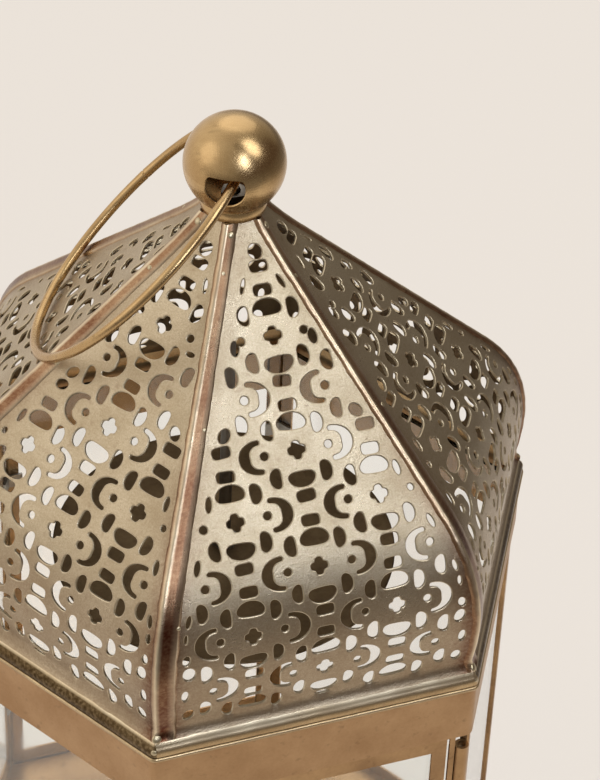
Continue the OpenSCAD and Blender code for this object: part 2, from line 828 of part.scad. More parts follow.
latch_button();
latch_rivet();
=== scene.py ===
"""Candle lantern of soldered brass sheet, with a pierced six-sided dome and a carrying ring.

Every length is in millimetres until Shell.build turns it into metres. A side of the lantern is
numbered 0 to 5: side 0 is the door's, and each next one is turned by 60 degrees. On a side, t
runs across the face to the right, seen from outside, and s runs up the panel from the crest.
"""

import logging
import math
from dataclasses import dataclass, field
from enum import Enum
from typing import Callable

import bmesh
import bpy
import numpy as np
from mathutils import Matrix, Vector
from mathutils.geometry import delaunay_2d_cdt


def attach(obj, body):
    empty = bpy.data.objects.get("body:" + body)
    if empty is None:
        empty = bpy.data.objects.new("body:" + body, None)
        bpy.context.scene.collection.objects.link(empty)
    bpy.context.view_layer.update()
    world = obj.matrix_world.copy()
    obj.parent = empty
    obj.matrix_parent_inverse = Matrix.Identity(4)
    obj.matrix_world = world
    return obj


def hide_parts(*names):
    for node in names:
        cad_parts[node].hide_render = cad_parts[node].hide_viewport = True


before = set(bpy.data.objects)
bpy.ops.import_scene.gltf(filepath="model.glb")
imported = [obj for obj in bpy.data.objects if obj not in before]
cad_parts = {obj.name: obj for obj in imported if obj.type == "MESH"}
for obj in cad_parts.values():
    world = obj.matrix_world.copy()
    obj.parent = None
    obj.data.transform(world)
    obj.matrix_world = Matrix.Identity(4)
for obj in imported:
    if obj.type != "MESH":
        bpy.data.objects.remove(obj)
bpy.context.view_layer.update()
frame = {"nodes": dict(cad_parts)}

LOG = logging.getLogger("lantern")

MM = 0.001
SIDES = 6
HALF = math.radians(30)

# Sizes shared by more than one sub-assembly
SHEET = 0.8
MITRE_GAP = 0.02
EAVE_Z = 190.0
LIP_A = 88.3346
BAND_A = 87.5346
FRAME_A = 86.7346
CREST_A = 86.4046
CREST_Z = 196.4
CAP_T = 0.6
BALL_Z = 334.125
PIVOT_Z = 332.591
RING_AZIMUTH = math.radians(150)

Colour = tuple[float, float, float, float]


def shade(text: str) -> Colour:
    """Linear RGBA of a six-digit sRGB colour.

    Args:
        text: Six hexadecimal digits.

    Returns:
        Red, green, blue and 1, each from 0 to 1.
    """
    srgb = np.array([int(text[i : i + 2], 16) for i in (0, 2, 4)]) / 255
    linear = np.where(srgb <= 0.04045, srgb / 12.92, ((srgb + 0.055) / 1.055) ** 2.4)
    return (*linear.tolist(), 1.0)


def turned(points: np.ndarray, angle: float) -> np.ndarray:
    """Points turned about the vertical axis by an angle in radians."""
    c, s = math.cos(angle), math.sin(angle)
    return points @ np.array([[c, s, 0.0], [-s, c, 0.0], [0.0, 0.0, 1.0]])


def ripple(x: np.ndarray, wave: float, seed: int, octaves: int = 4) -> np.ndarray:
    """Smooth irregular curve between about -1 and 1.

    The sum of sines whose wavelengths shrink from `wave` by about 1.7 each, with seeded phases.

    Args:
        x: Places along the curve.
        wave: Longest wavelength.
        seed: Seed of the phases.
        octaves: Number of sines.

    Returns:
        The curve's values at x.
    """
    rng = np.random.default_rng(seed)
    total = np.zeros_like(x, dtype=float)
    for i in range(octaves):
        total += np.sin(2 * np.pi * x * 1.7**i / wave + rng.uniform(0, 2 * np.pi)) / (i + 1)
    return total / sum(1 / (i + 1) for i in range(octaves))


# ---------------------------------------------------------------- meshes


@dataclass
class Shell:
    """Closed surface of one piece, gathered part by part before it becomes an object."""

    points: list[np.ndarray] = field(default_factory=list)
    # Painted highlight at each point, 0 to 1.
    edge: list[np.ndarray] = field(default_factory=list)
    # Painted shade at each point, 0 to 1.
    painted_shade: list[np.ndarray] = field(default_factory=list)
    faces: list[np.ndarray] = field(default_factory=list)
    spread: list[np.ndarray] = field(default_factory=list)
    finish: list[np.ndarray] = field(default_factory=list)

    def _next(self) -> int:
        """Index of the next point to be added."""
        return sum(len(p) for p in self.points)

    def add(
        self,
        points: np.ndarray,
        faces: np.ndarray,
        spread: np.ndarray,
        finish: int | np.ndarray = 0,
        edge: np.ndarray | None = None,
        painted_shade: np.ndarray | None = None,
    ) -> int:
        """Adds points and the faces between them.

        Args:
            points: Points, one row each.
            faces: Indexes into points, one face a row.
            spread: Developed place of each face corner, in millimetres.
            finish: Number of the faces' finish.
            edge: How much painted highlight each point gets, 0 to 1, most of all at cut edges and folds.
            painted_shade: How much painted shade each point gets, 0 to 1.

        Returns:
            Index of the first point added.
        """
        first = self._next()
        self.points.append(np.asarray(points, dtype=float).reshape(-1, 3))
        self.edge.append(np.zeros(len(self.points[-1])) if edge is None else edge)
        self.painted_shade.append(np.zeros(len(self.points[-1])) if painted_shade is None else painted_shade)
        self.add_faces(faces + first, spread, finish)
        return first

    def add_faces(self, faces: np.ndarray, spread: np.ndarray, finish: int | np.ndarray = 0) -> None:
        """Adds faces between points that are already there.

        Args:
            faces: Indexes of points, one face a row.
            spread: Developed place of each face corner, in millimetres.
            finish: Number of the faces' finish.
        """
        self.faces.append(np.asarray(faces, dtype=int))
        self.spread.append(np.asarray(spread, dtype=float).reshape(-1, 2))
        self.finish.append(np.broadcast_to(np.asarray(finish, dtype=int), (len(faces),)))

    def grid(
        self,
        points: np.ndarray,
        round_rows: bool = False,
        round_columns: bool = False,
        capped: bool = False,
        finish: int | np.ndarray = 0,
        edge: np.ndarray | None = None,
        painted_shade: np.ndarray | None = None,
    ) -> int:
        """Adds a surface given as a grid of points.

        The spread of a corner is the length run along its row and along its column, measured on
        the middle row and the middle column.

        Args:
            points: Grid of points, rows by columns by 3.
            round_rows: True if the last row joins the first.
            round_columns: True if the last column joins the first.
            capped: True to close the first and the last row with a face each.
            finish: Finish of all faces, or of each column of faces.
            edge: How much painted highlight each point gets, 0 to 1, most of all at cut edges and folds.
            painted_shade: How much painted shade each point gets, 0 to 1.

        Returns:
            Index of the first point added.
        """
        rows, columns = points.shape[:2]
        i, j = np.meshgrid(
            np.arange(rows - (not round_rows)), np.arange(columns - (not round_columns)), indexing="ij"
        )
        i, j = i.ravel(), j.ravel()
        ends_i, ends_j = np.stack([i, i + 1, i + 1, i], 1), np.stack([j, j, j + 1, j + 1], 1)
        middle_row, middle_column = points[rows // 2], points[:, columns // 2]
        along = np.linalg.norm(np.diff(np.vstack([middle_row, middle_row[:1]]), axis=0), axis=1)
        up = np.linalg.norm(np.diff(np.vstack([middle_column, middle_column[:1]]), axis=0), axis=1)
        run_u, run_v = np.concatenate([[0], np.cumsum(along)]), np.concatenate([[0], np.cumsum(up)])
        spread = np.stack([run_u[ends_j], run_v[ends_i]], -1)
        faces = (ends_i % rows) * columns + ends_j % columns
        per_face = finish if np.isscalar(finish) else np.asarray(finish)[j]
        edge, painted_shade = (None if mask is None else mask.ravel() for mask in (edge, painted_shade))
        first = self.add(points, faces, spread, per_face, edge, painted_shade)
        if capped:
            for row in (0, rows - 1):
                loop = first + row * columns + np.arange(columns)
                place = points[row]
                middle = place - place.mean(axis=0)
                flat = np.linalg.svd(middle, full_matrices=False)[2][:2]
                last = finish if np.isscalar(finish) else 0
                self.add_faces(loop[None], middle @ flat.T, last)
        return first

    def build(self, name: str, sharp: float = 35.0) -> bpy.types.Object:
        """Makes the object, with faces outwards, doubles merged and edges sharp past an angle.

        Args:
            name: Name of the object.
            sharp: Angle in degrees past which an edge is shaded sharp.

        Returns:
            The new object, at the origin.
        """
        mesh = bpy.data.meshes.new(name)
        faces = [row for block in self.faces for row in block.tolist()]
        mesh.from_pydata((np.concatenate(self.points) * MM).tolist(), [], faces)
        layer = mesh.uv_layers.new(name="Developed")
        layer.data.foreach_set("uv", np.concatenate(self.spread).ravel())
        # Point masks for the finishes: painted_highlight is where highlights are painted, burn is where
        # shade is painted.
        for mask, values in (("painted_highlight", self.edge), ("painted_shade", self.painted_shade)):
            made = mesh.attributes.new(mask, "FLOAT", "POINT")
            made.data.foreach_set("value", np.concatenate(values))
        mesh.polygons.foreach_set("material_index", np.concatenate(self.finish).astype(np.int32))
        work = bmesh.new()
        work.from_mesh(mesh)
        bmesh.ops.remove_doubles(work, verts=work.verts, dist=1e-6)
        bmesh.ops.dissolve_degenerate(work, edges=work.edges, dist=1e-7)
        bmesh.ops.recalc_face_normals(work, faces=work.faces)
        work.to_mesh(mesh)
        work.free()
        mesh.polygons.foreach_set("use_smooth", np.ones(len(mesh.polygons), dtype=bool))
        mesh.set_sharp_from_angle(angle=math.radians(sharp))
        piece = bpy.data.objects.new(name, mesh)
        bpy.context.scene.collection.objects.link(piece)
        return piece


Materials = dict[str, bpy.types.Material]


def put(
    piece: bpy.types.Object, finishes: list[bpy.types.Material], body: str, slot: str, *nodes: str
) -> None:
    """Dresses a new piece, and sets what it rides on and the nodes it stands for.

    Args:
        piece: The new object.
        finishes: Its materials, in the order of its faces' numbers.
        body: Body that it rides on.
        slot: Not used.
        *nodes: CAD nodes that it stands for.
    """
    for finish in finishes:
        piece.data.materials.append(finish)
    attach(piece, body)
    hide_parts(*nodes)
    LOG.info("%s: %d faces on %s", piece.name, len(piece.data.polygons), body)


def around_hexagon(outline: np.ndarray, core: float, straight: int = 40, bend: int = 6) -> np.ndarray:
    """Carries an outline round the lantern's six sides.

    A point of the outline at apothem a follows a hexagon of that apothem whose corners are arcs of
    radius a - core, or of 0.25 mm where that is less, so that all the arcs share their centres.

    Args:
        outline: Points [apothem, height], in order.
        core: Apothem at which the corners' arcs have no radius.
        straight: Points along each side.
        bend: Steps round each corner.

    Returns:
        Grid of points, one row for each place round the path.
    """
    a = outline[:, 0]
    radius = np.maximum(a - core, 0.25)
    reach = (a - radius) * math.tan(HALF)
    share = np.linspace(-1, 1, straight)[:, None]
    turn = (np.arange(1, bend) / bend * 2 * HALF)[:, None]
    x = np.concatenate([share * reach, reach + radius * np.sin(turn)])
    y = -np.concatenate([np.broadcast_to(a, (straight, len(a))), a - radius + radius * np.cos(turn)])
    z = np.broadcast_to(outline[:, 1], x.shape)
    side = np.stack([x, y, z], -1)
    return np.concatenate([turned(side, 2 * HALF * k) for k in range(SIDES)])


def lathe(
    outline: np.ndarray,
    steps: int,
    at: tuple[float, float, float] = (0.0, 0.0, 0.0),
    toward: tuple[float, float, float] = (0.0, 0.0, 1.0),
) -> np.ndarray:
    """Turns an outline about an axis.

    Args:
        outline: Points [radius, height along the axis], in order.
        steps: Number of rows round the axis.
        at: Origin of the axis.
        toward: Direction of the axis.

    Returns:
        Grid of points, one row for each angle.
    """
    angle = np.arange(steps) / steps * 2 * np.pi
    x = outline[None, :, 0] * np.cos(angle)[:, None]
    y = outline[None, :, 0] * np.sin(angle)[:, None]
    z = np.broadcast_to(outline[None, :, 1], x.shape)
    frame_of_axis = np.array(Vector(toward).to_track_quat("Z", "Y").to_matrix())
    return np.stack([x, y, z], -1) @ frame_of_axis.T + np.array(at)


def bead(at: np.ndarray, out: np.ndarray, wide: float, high: float, steps: int = 14) -> np.ndarray:
    """Drop of solder: a squashed ball centred on a surface.

    Args:
        at: Centre, on the surface.
        out: Outward direction there.
        wide: Radius along the surface.
        high: Radius away from it.
        steps: Number of rows round the drop.

    Returns:
        Grid of points, one row for each angle, from pole to pole.
    """
    lift = np.linspace(0, np.pi, steps // 2 + 2)
    outline = np.stack([wide * np.sin(lift), -high * np.cos(lift)], 1)
    return lathe(outline, steps, tuple(at), tuple(out))


# ---------------------------------------------------------------- materials


class Effect(Enum):
    """Shared surface effects, each a node group."""

    # Real stains, and painted shade from a mask.
    STAIN_AND_SHADE = "Tarnish and painted shade on brass"
    BRUSHED = "Brushed lines"
    GRAIN = "Cast and etched grain"
    # Painted highlight along cut edges and folds.
    PAINTED_HIGHLIGHT = "Painted edge highlights"


class Wiring:
    """A node tree under work, with short calls that place nodes and join them.

    An input is given as a value or as another node's output, which is linked to it.
    """

    def __init__(self, tree: bpy.types.NodeTree) -> None:
        """Takes the tree on."""
        self.tree = tree

    def add(
        self, kind: str, inputs: dict[str | int, object] | None = None, **settings: object
    ) -> bpy.types.Node:
        """Places a node.

        Args:
            kind: Its type, without the leading word ShaderNode.
            inputs: Its inputs, by name or by number.
            **settings: Its own settings, such as an operation.

        Returns:
            The new node.
        """
        node = self.tree.nodes.new(f"ShaderNode{kind}")
        for name, value in settings.items():
            setattr(node, name, value)
        for name, value in (inputs or {}).items():
            if isinstance(value, bpy.types.NodeSocket):
                self.join(value, node.inputs[name])
            else:
                node.inputs[name].default_value = value
        return node

    def join(self, output: bpy.types.NodeSocket, into: bpy.types.NodeSocket) -> None:
        """Links an output to an input."""
        self.tree.links.new(output, into)

    def group(self, tree: bpy.types.NodeTree, inputs: dict[str | int, object]) -> bpy.types.NodeOutputs:
        """Outputs of a group that is placed here with these inputs."""
        return self.add("Group", inputs, node_tree=tree).outputs

    def noise(
        self, where: bpy.types.NodeSocket, scale: object, detail: float = 2.0, rough: float = 0.5
    ) -> bpy.types.NodeSocket:
        """Noise at a place, with its scale, its octaves and their weight."""
        values = {"Vector": where, "Scale": scale, "Detail": detail, "Roughness": rough}
        return self.add("TexNoise", values).outputs["Fac"]

    def spread(
        self,
        value: bpy.types.NodeSocket,
        start: tuple[float, float] = (0.0, 1.0),
        to: tuple[float, float] = (0.0, 1.0),
    ) -> bpy.types.NodeSocket:
        """A value carried from one range to another and held at its ends.

        Args:
            value: The value.
            start: Range that it comes from.
            to: Range that it is carried to.

        Returns:
            The carried value.
        """
        names = ("From Min", "From Max", "To Min", "To Max")
        inputs = {"Value": value, **dict(zip(names, (*start, *to)))}
        return self.add("MapRange", inputs).outputs["Result"]

    def math(self, operation: str, *values: object) -> bpy.types.NodeSocket:
        """Result of a sum, product or other operation on two or three values."""
        return self.add("Math", dict(enumerate(values)), operation=operation).outputs[0]

    def mix(self, share: object, a: object, b: object) -> bpy.types.NodeSocket:
        """Colour a with a share of colour b."""
        return self.add("Mix", {"Factor": share, "A": a, "B": b}, data_type="RGBA").outputs["Result"]

    def bump(
        self, height: bpy.types.NodeSocket, depth_mm: float, normal: bpy.types.NodeSocket | None = None
    ) -> bpy.types.NodeSocket:
        """Normal raised by a height, on top of another normal where one is given.

        Args:
            height: Height, from 0 to 1.
            depth_mm: Depth that a height of 1 stands for.
            normal: Normal below it, if there is one.

        Returns:
            The raised normal.
        """
        inputs = {"Strength": 1.0, "Distance": depth_mm * MM, "Height": height}
        if normal is not None:
            inputs["Normal"] = normal
        return self.add("Bump", inputs).outputs["Normal"]

    def painted(self, mask: str) -> bpy.types.NodeSocket:
        """A mask that the mesh holds at its points."""
        return self.add("Attribute", attribute_name=mask).outputs["Fac"]

    def in_object(self, scale: tuple[float, float, float] = (1.0, 1.0, 1.0)) -> bpy.types.NodeSocket:
        """Object coordinates in millimetres, times a scale along each axis.

        Args:
            scale: Scale along each axis.

        Returns:
            The coordinates.
        """
        where = self.add("TexCoord").outputs["Object"]
        inputs = {"Vector": where, "Scale": tuple(share / MM for share in scale)}
        return self.add("Mapping", inputs).outputs["Vector"]

    def finish(self, shader: bpy.types.NodeSocket) -> None:
        """Gives a material its surface."""
        self.add("OutputMaterial", {"Surface": shader})


def new_material(name: str) -> tuple[bpy.types.Material, Wiring]:
    """A material without nodes, and its wiring.

    Args:
        name: Name of the material.

    Returns:
        The material and its wiring.
    """
    material = bpy.data.materials.new(name)
    material.use_nodes = True
    material.node_tree.nodes.clear()
    return material, Wiring(material.node_tree)


class EffectGroups:
    """Makes each shared effect once and hands it to the materials."""

    def __init__(self) -> None:
        """Makes the groups."""
        self.trees: dict[Effect, bpy.types.NodeTree] = {
            Effect.STAIN_AND_SHADE: self._stain_and_shade(),
            Effect.BRUSHED: self._brushed(),
            Effect.GRAIN: self._grain(),
            Effect.PAINTED_HIGHLIGHT: self._painted_highlight(),
        }

    def _start(
        self, effect: Effect, takes: dict[str, object], gives: dict[str, str]
    ) -> tuple[Wiring, bpy.types.NodeOutputs, bpy.types.NodeInputs]:
        """Starts a group with its named sockets.

        Args:
            effect: The effect that the group makes.
            takes: First value of each input, a number or a colour, or None for a vector.
            gives: Kind of each output, Color or Float.

        Returns:
            The group's wiring, what comes into it, and the sockets that it puts out.
        """
        tree = bpy.data.node_groups.new(effect.value, "ShaderNodeTree")
        for name, value in takes.items():
            kind = "Vector" if value is None else "Float" if isinstance(value, float) else "Color"
            made = tree.interface.new_socket(name=name, in_out="INPUT", socket_type=f"NodeSocket{kind}")
            if value is not None:
                made.default_value = value
        for name, kind in gives.items():
            tree.interface.new_socket(name=name, in_out="OUTPUT", socket_type=f"NodeSocket{kind}")
        into, out = tree.nodes.new("NodeGroupInput"), tree.nodes.new("NodeGroupOutput")
        return Wiring(tree), into.outputs, out.inputs

    def _stain_and_shade(self) -> bpy.types.NodeTree:
        """Clean metal under broad soft stains, small spots and specks, and under painted shade where a
        mask lays it.

        Returns:
            The group.
        """
        wiring, into, out = self._start(
            Effect.STAIN_AND_SHADE,
            {
                "Vector": None,
                "Clean": shade("C9A877"),
                "Stain": shade("8A6A48"),
                "Spot": shade("4A3826"),
                "Stained": 0.5,
                "Spotted": 0.3,
                "Speck": 0.0,
                "Speckled": 0.0,
                "Painted shade": 0.0,
            },
            {"Color": "Color", "Dull": "Float"},
        )
        where = into["Vector"]
        broad = wiring.noise(where, 0.045, 5.0, 0.62)
        fine = wiring.noise(where, 0.9, 4.0)
        soft = wiring.spread(wiring.math("MULTIPLY_ADD", fine, 0.22, broad), (0.42, 0.78))
        spots = wiring.spread(wiring.noise(where, 0.33), (0.62, 0.76))
        uneven = wiring.spread(fine, (0.3, 0.6), (0.7, 1.0))
        colour = into["Clean"]
        for mask, share, over in (
            (soft, "Stained", "Stain"),
            (spots, "Spotted", "Spot"),
            (into["Speck"], "Speckled", "Stain"),
            # Painted shade: the piece's mask, made uneven, laid in the spot colour.
            (uneven, "Painted shade", "Spot"),
        ):
            colour = wiring.mix(wiring.math("MULTIPLY", mask, into[share]), colour, into[over])
        wiring.join(colour, out["Color"])
        wiring.join(soft, out["Dull"])
        return wiring.tree

    def _brushed(self) -> bpy.types.NodeTree:
        """Fine parallel scratches: noise stretched along the first direction.

        Returns:
            The group.
        """
        wiring, into, out = self._start(
            Effect.BRUSHED, {"Vector": None, "Along": 0.04, "Across": 3.0}, {"Height": "Float"}
        )
        across = into["Across"]
        scale = wiring.add("CombineXYZ", {"X": into["Along"], "Y": across, "Z": across})
        places = {0: into["Vector"], 1: scale.outputs["Vector"]}
        stretched = wiring.add("VectorMath", places, operation="MULTIPLY").outputs["Vector"]
        wiring.join(wiring.noise(stretched, 1.0, 5.0, 0.7), out["Height"])
        return wiring.tree

    def _grain(self) -> bpy.types.NodeTree:
        """Small grains, as a height and as the share that is pitted.

        Returns:
            The group.
        """
        wiring, into, out = self._start(
            Effect.GRAIN, {"Vector": None, "Scale": 2.2}, {"Height": "Float", "Pits": "Float"}
        )
        grains = wiring.noise(into["Vector"], into["Scale"], 3.0, 0.65)
        wiring.join(grains, out["Height"])
        wiring.join(wiring.spread(grains, (0.38, 0.62)), out["Pits"])
        return wiring.tree

    def _painted_highlight(self) -> bpy.types.NodeTree:
        """Lightens a colour by a painted highlight, laid where a mask marks cut edges and folds.

        Returns:
            The group.
        """
        wiring, into, out = self._start(
            Effect.PAINTED_HIGHLIGHT,
            {"Color": shade("C9A877"), "Bright": shade("F0E2C4"), "Share": 0.6, "Near": 0.0},
            {"Color": "Color"},
        )
        share = wiring.math("MULTIPLY", into["Near"], into["Share"])
        wiring.join(wiring.mix(share, into["Color"], into["Bright"]), out["Color"])
        return wiring.tree


class Place(Enum):
    """What a finish's pattern follows."""

    DEVELOPED = "the surface's own developed map"
    SOLID = "the object's coordinates"


@dataclass(frozen=True)
class BrassFinish:
    """Brass or another metal, with its stains, painted shade and highlights, brushing and grain.

    Attributes:
        name: Name of the material.
        clean: Colour of the bare metal.
        stain: Colour of the broad patches.
        spot: Colour of the small spots, and of the painted shade.
        stained: Share of the broad patches.
        spotted: Share of the small spots.
        speckled: Share of the finest speckles, which follow the grain.
        painted_shade_share: Share of the painted shade, where the piece has it.
        roughness: Roughness where the metal is clean.
        dulling: Roughness added where it is stained.
        brush: Scale of the lines along and across themselves, per millimetre.
        brush_mm: Depth of the lines.
        grain: Scale of the grain, per millimetre.
        grain_mm: Depth of the grain.
        dent_mm: Depth of the slow dents.
        edge: Share of the painted highlight along cut edges and folds.
        place: What the pattern follows.
        pitting: Roughness added by the grain's pits.
    """

    name: str
    clean: Colour
    stain: Colour
    spot: Colour = shade("4A3826")
    stained: float = 0.6
    spotted: float = 0.3
    speckled: float = 0.0
    painted_shade_share: float = 0.0
    roughness: float = 0.3
    dulling: float = 0.12
    brush: tuple[float, float] = (0.04, 3.0)
    brush_mm: float = 0.010
    grain: float = 2.2
    grain_mm: float = 0.01
    dent_mm: float = 0.5
    edge: float = 0.0
    place: Place = Place.DEVELOPED
    pitting: float = 0.07

    def make(self, effects: EffectGroups) -> bpy.types.Material:
        """Builds the material.

        Args:
            effects: The shared effects.

        Returns:
            The new material.
        """
        material, wiring = new_material(self.name)
        flat = self.place is Place.DEVELOPED
        where = wiring.add("TexCoord").outputs["UV"] if flat else wiring.in_object()
        trees = effects.trees
        along, across = self.brush
        lines = wiring.group(trees[Effect.BRUSHED], {"Vector": where, "Along": along, "Across": across})
        grain = wiring.group(trees[Effect.GRAIN], {"Vector": where, "Scale": self.grain})
        stain_and_shade = wiring.group(
            trees[Effect.STAIN_AND_SHADE],
            {
                "Vector": where,
                "Clean": self.clean,
                "Stain": self.stain,
                "Spot": self.spot,
                "Stained": self.stained,
                "Spotted": self.spotted,
                "Speck": grain["Pits"],
                "Speckled": self.speckled,
                # Painted shade from the mesh's burn mask.
                "Painted shade": wiring.math("MULTIPLY", wiring.painted("painted_shade"), self.painted_shade_share) if self.painted_shade_share else 0.0,
            },
        )
        colour = stain_and_shade["Color"]
        # Painted highlight where the painted_highlight mask marks edges and folds.
        if self.edge > 0:
            near = wiring.painted("painted_highlight")
            highlit = {"Color": colour, "Share": self.edge, "Near": near}
            colour = wiring.group(trees[Effect.PAINTED_HIGHLIGHT], highlit)["Color"]
        dull = wiring.spread(stain_and_shade["Dull"], to=(self.roughness, self.roughness + self.dulling))
        normal = wiring.bump(wiring.noise(where, 0.055, 1.5), self.dent_mm)
        normal = wiring.bump(lines["Height"], self.brush_mm, normal)
        normal = wiring.bump(grain["Height"], self.grain_mm, normal)
        surface = wiring.add(
            "BsdfPrincipled",
            {
                "Metallic": 1.0,
                "Base Color": colour,
                "Roughness": wiring.math("MULTIPLY_ADD", grain["Pits"], self.pitting, dull),
                "Normal": normal,
            },
        )
        wiring.finish(surface.outputs["BSDF"])
        return material


@dataclass(frozen=True)
class GlassFinish:
    """Old drawn window glass with slow waves, which lets the lamps' light through.

    Attributes:
        name: Name of the material.
        tint: Colour of the glass.
        shadow: Colour of the light that passes to what lies in its shadow.
        wave_mm: Depth of its waves.
    """

    name: str
    tint: Colour
    shadow: Colour
    wave_mm: float = 0.02

    def make(self, effects: EffectGroups) -> bpy.types.Material:
        """Builds the material.

        Args:
            effects: The shared effects.

        Returns:
            The new material.
        """
        material, wiring = new_material(self.name)
        where = wiring.in_object((1.0, 1.0, 0.4))
        smears = wiring.group(effects.trees[Effect.GRAIN], {"Vector": where, "Scale": 0.05})
        glass = wiring.add(
            "BsdfPrincipled",
            {
                "Transmission Weight": 1.0,
                "IOR": 1.5,
                "Base Color": self.tint,
                "Roughness": wiring.spread(smears["Pits"], to=(0.01, 0.06)),
                "Normal": wiring.bump(wiring.noise(where, 0.06, 1.0), self.wave_mm),
            },
        )
        clear = wiring.add("BsdfTransparent", {"Color": self.shadow})
        shaded = wiring.add("LightPath").outputs["Is Shadow Ray"]
        both = {"Fac": shaded, 1: glass.outputs["BSDF"], 2: clear.outputs["BSDF"]}
        wiring.finish(wiring.add("MixShader", both).outputs["Shader"])
        return material


@dataclass(frozen=True)
class FeltFinish:
    """Pressed wool felt.

    Attributes:
        name: Name of the material.
        wool: Colour of the fibres.
        shadow: Colour between them.
        nap_mm: Depth between them.
    """

    name: str
    wool: Colour
    shadow: Colour
    nap_mm: float = 0.15

    def make(self, effects: EffectGroups) -> bpy.types.Material:
        """Builds the material.

        Args:
            effects: The shared effects.

        Returns:
            The new material.
        """
        material, wiring = new_material(self.name)
        where = wiring.in_object()
        fibres = wiring.group(effects.trees[Effect.GRAIN], {"Vector": where, "Scale": 3.0})
        surface = wiring.add(
            "BsdfPrincipled",
            {
                "Sheen Weight": 0.5,
                "Base Color": wiring.mix(fibres["Pits"], self.shadow, self.wool),
                "Roughness": wiring.spread(fibres["Pits"], to=(0.85, 1.0)),
                "Normal": wiring.bump(fibres["Height"], self.nap_mm),
            },
        )
        wiring.finish(surface.outputs["BSDF"])
        return material


FINISHES: dict[str, BrassFinish | GlassFinish | FeltFinish] = {
    # The spot colour also serves as painted shade along the seams and the foot, and edge paints highlights
    # round the holes.
    "panel": BrassFinish(
        "Pierced sheet brass",
        shade("CBBCA2"),
        shade("9C8768"),
        shade("6E4630"),
        speckled=0.4,
        painted_shade_share=1.0,
        roughness=0.25,
        dulling=0.08,
        brush=(0.05, 2.4),
        brush_mm=0.02,
        grain=1.9,
        grain_mm=0.13,
        dent_mm=0.30,
        edge=0.55,
    ),
    # Inner faces: a darker, rougher brass whose darkness paints the shade inside the dome.
    "lining": BrassFinish(
        "Inner brass with painted shade",
        shade("7D6A50"),
        shade("4F3F2D"),
        roughness=0.42,
        dulling=0.15,
        grain_mm=0.03,
    ),
    # The spot colour also serves as painted shade on the legs, and edge paints the highlight along the
    # fold.
    "cap": BrassFinish(
        "Folded seam brass",
        shade("CDB08A"),
        shade("94694A"),
        shade("5C3120"),
        spotted=0.6,
        speckled=0.5,
        painted_shade_share=1.0,
        edge=0.85,
        roughness=0.22,
        brush=(2.4, 0.05),
        brush_mm=0.012,
        grain_mm=0.02,
        dent_mm=0.35,
    ),
    "solder": BrassFinish(
        "Soft solder",
        shade("CFC0A0"),
        shade("9F8B6C"),
        roughness=0.26,
        grain=1.6,
        grain_mm=0.04,
        dent_mm=0.3,
    ),
    # The spot colour is chiefly the painted shade on the skirt, and edge paints the highlights on lip and
    # crest.
    "eave": BrassFinish(
        "Pressed eave brass",
        shade("D2B88E"),
        shade("8C6B45"),
        shade("3C2C16"),
        stained=0.6,
        speckled=0.4,
        painted_shade_share=1.0,
        edge=0.8,
        roughness=0.24,
        brush=(1.6, 0.05),
        brush_mm=0.03,
        dent_mm=0.45,
    ),
    "band": BrassFinish(
        "Brushed band brass",
        shade("BB9770"),
        shade("A07A53"),
        roughness=0.34,
        brush=(0.03, 2.6),
        brush_mm=0.018,
        dent_mm=0.25,
    ),
    "turned": BrassFinish(
        "Turned brass",
        shade("D0B080"),
        shade("A07C50"),
        roughness=0.19,
        dulling=0.07,
        brush=(0.02, 1.5),
        brush_mm=0.05,
        dent_mm=0.1,
    ),
    "frame": BrassFinish(
        "Plain sheet brass",
        shade("B8946A"),
        shade("866546"),
        roughness=0.3,
        brush=(0.05, 2.2),
        dent_mm=0.2,
        place=Place.SOLID,
    ),
    "inner": BrassFinish(
        "Dull inner brass",
        shade("8C7658"),
        shade("5C4A36"),
        roughness=0.45,
        brush=(0.08, 1.4),
        dent_mm=0.4,
        place=Place.SOLID,
    ),
    "steel": BrassFinish(
        "Plated steel",
        shade("A9A59E"),
        shade("77716A"),
        shade("4E4640"),
        roughness=0.3,
        brush=(0.1, 2.0),
        dent_mm=0.1,
        place=Place.SOLID,
    ),
    "glass": GlassFinish("Drawn window glass", (0.97, 0.99, 0.985, 1.0), (0.93, 0.95, 0.94, 1.0)),
    "felt": FeltFinish("Pressed felt", shade("5A534B"), shade("2E2A26")),
}


# ---------------------------------------------------------------- dome


@dataclass(frozen=True)
class DomeProfile:
    """Line that a dome panel follows from the crest up to the neck.

    Attributes:
        stretches: Length, lean at the start and turn of each stretch, in millimetres and degrees.
            The lean is measured from the vertical, and a negative one leans in.
        step: Length of one step of the walk.
    """

    stretches: tuple[tuple[float, float, float], ...] = (
        (5.4, -43.5, 54.0),
        (12.4, 10.5, -8.7),
        (39.7, 1.8, -45.4),
        (78.033, -43.6, 0.0),
        (16.0, -43.6, 7.6),
    )
    step: float = 0.25

    def table(self) -> np.ndarray:
        """Rows of length run, apothem, height and lean, walked in short steps from the crest.

        Returns:
            The four rows, one column for each step.
        """
        leans, steps, joints = [], [], [math.radians(self.stretches[0][1])]
        for length, lean, turn in self.stretches:
            count = int(math.ceil(length / self.step))
            share = (np.arange(count) + 0.5) / count
            leans.append(np.radians(lean + turn * share))
            steps.append(np.full(count, length / count))
            joints.extend(np.radians(lean + turn * (np.arange(count) + 1) / count))
        lean, step = np.concatenate(leans), np.concatenate(steps)
        run = np.concatenate([[0], np.cumsum(step)])
        apothem = CREST_A + np.concatenate([[0], np.cumsum(step * np.sin(lean))])
        height = CREST_Z + np.concatenate([[0], np.cumsum(step * np.cos(lean))])
        return np.stack([run, apothem, height, np.array(joints)])


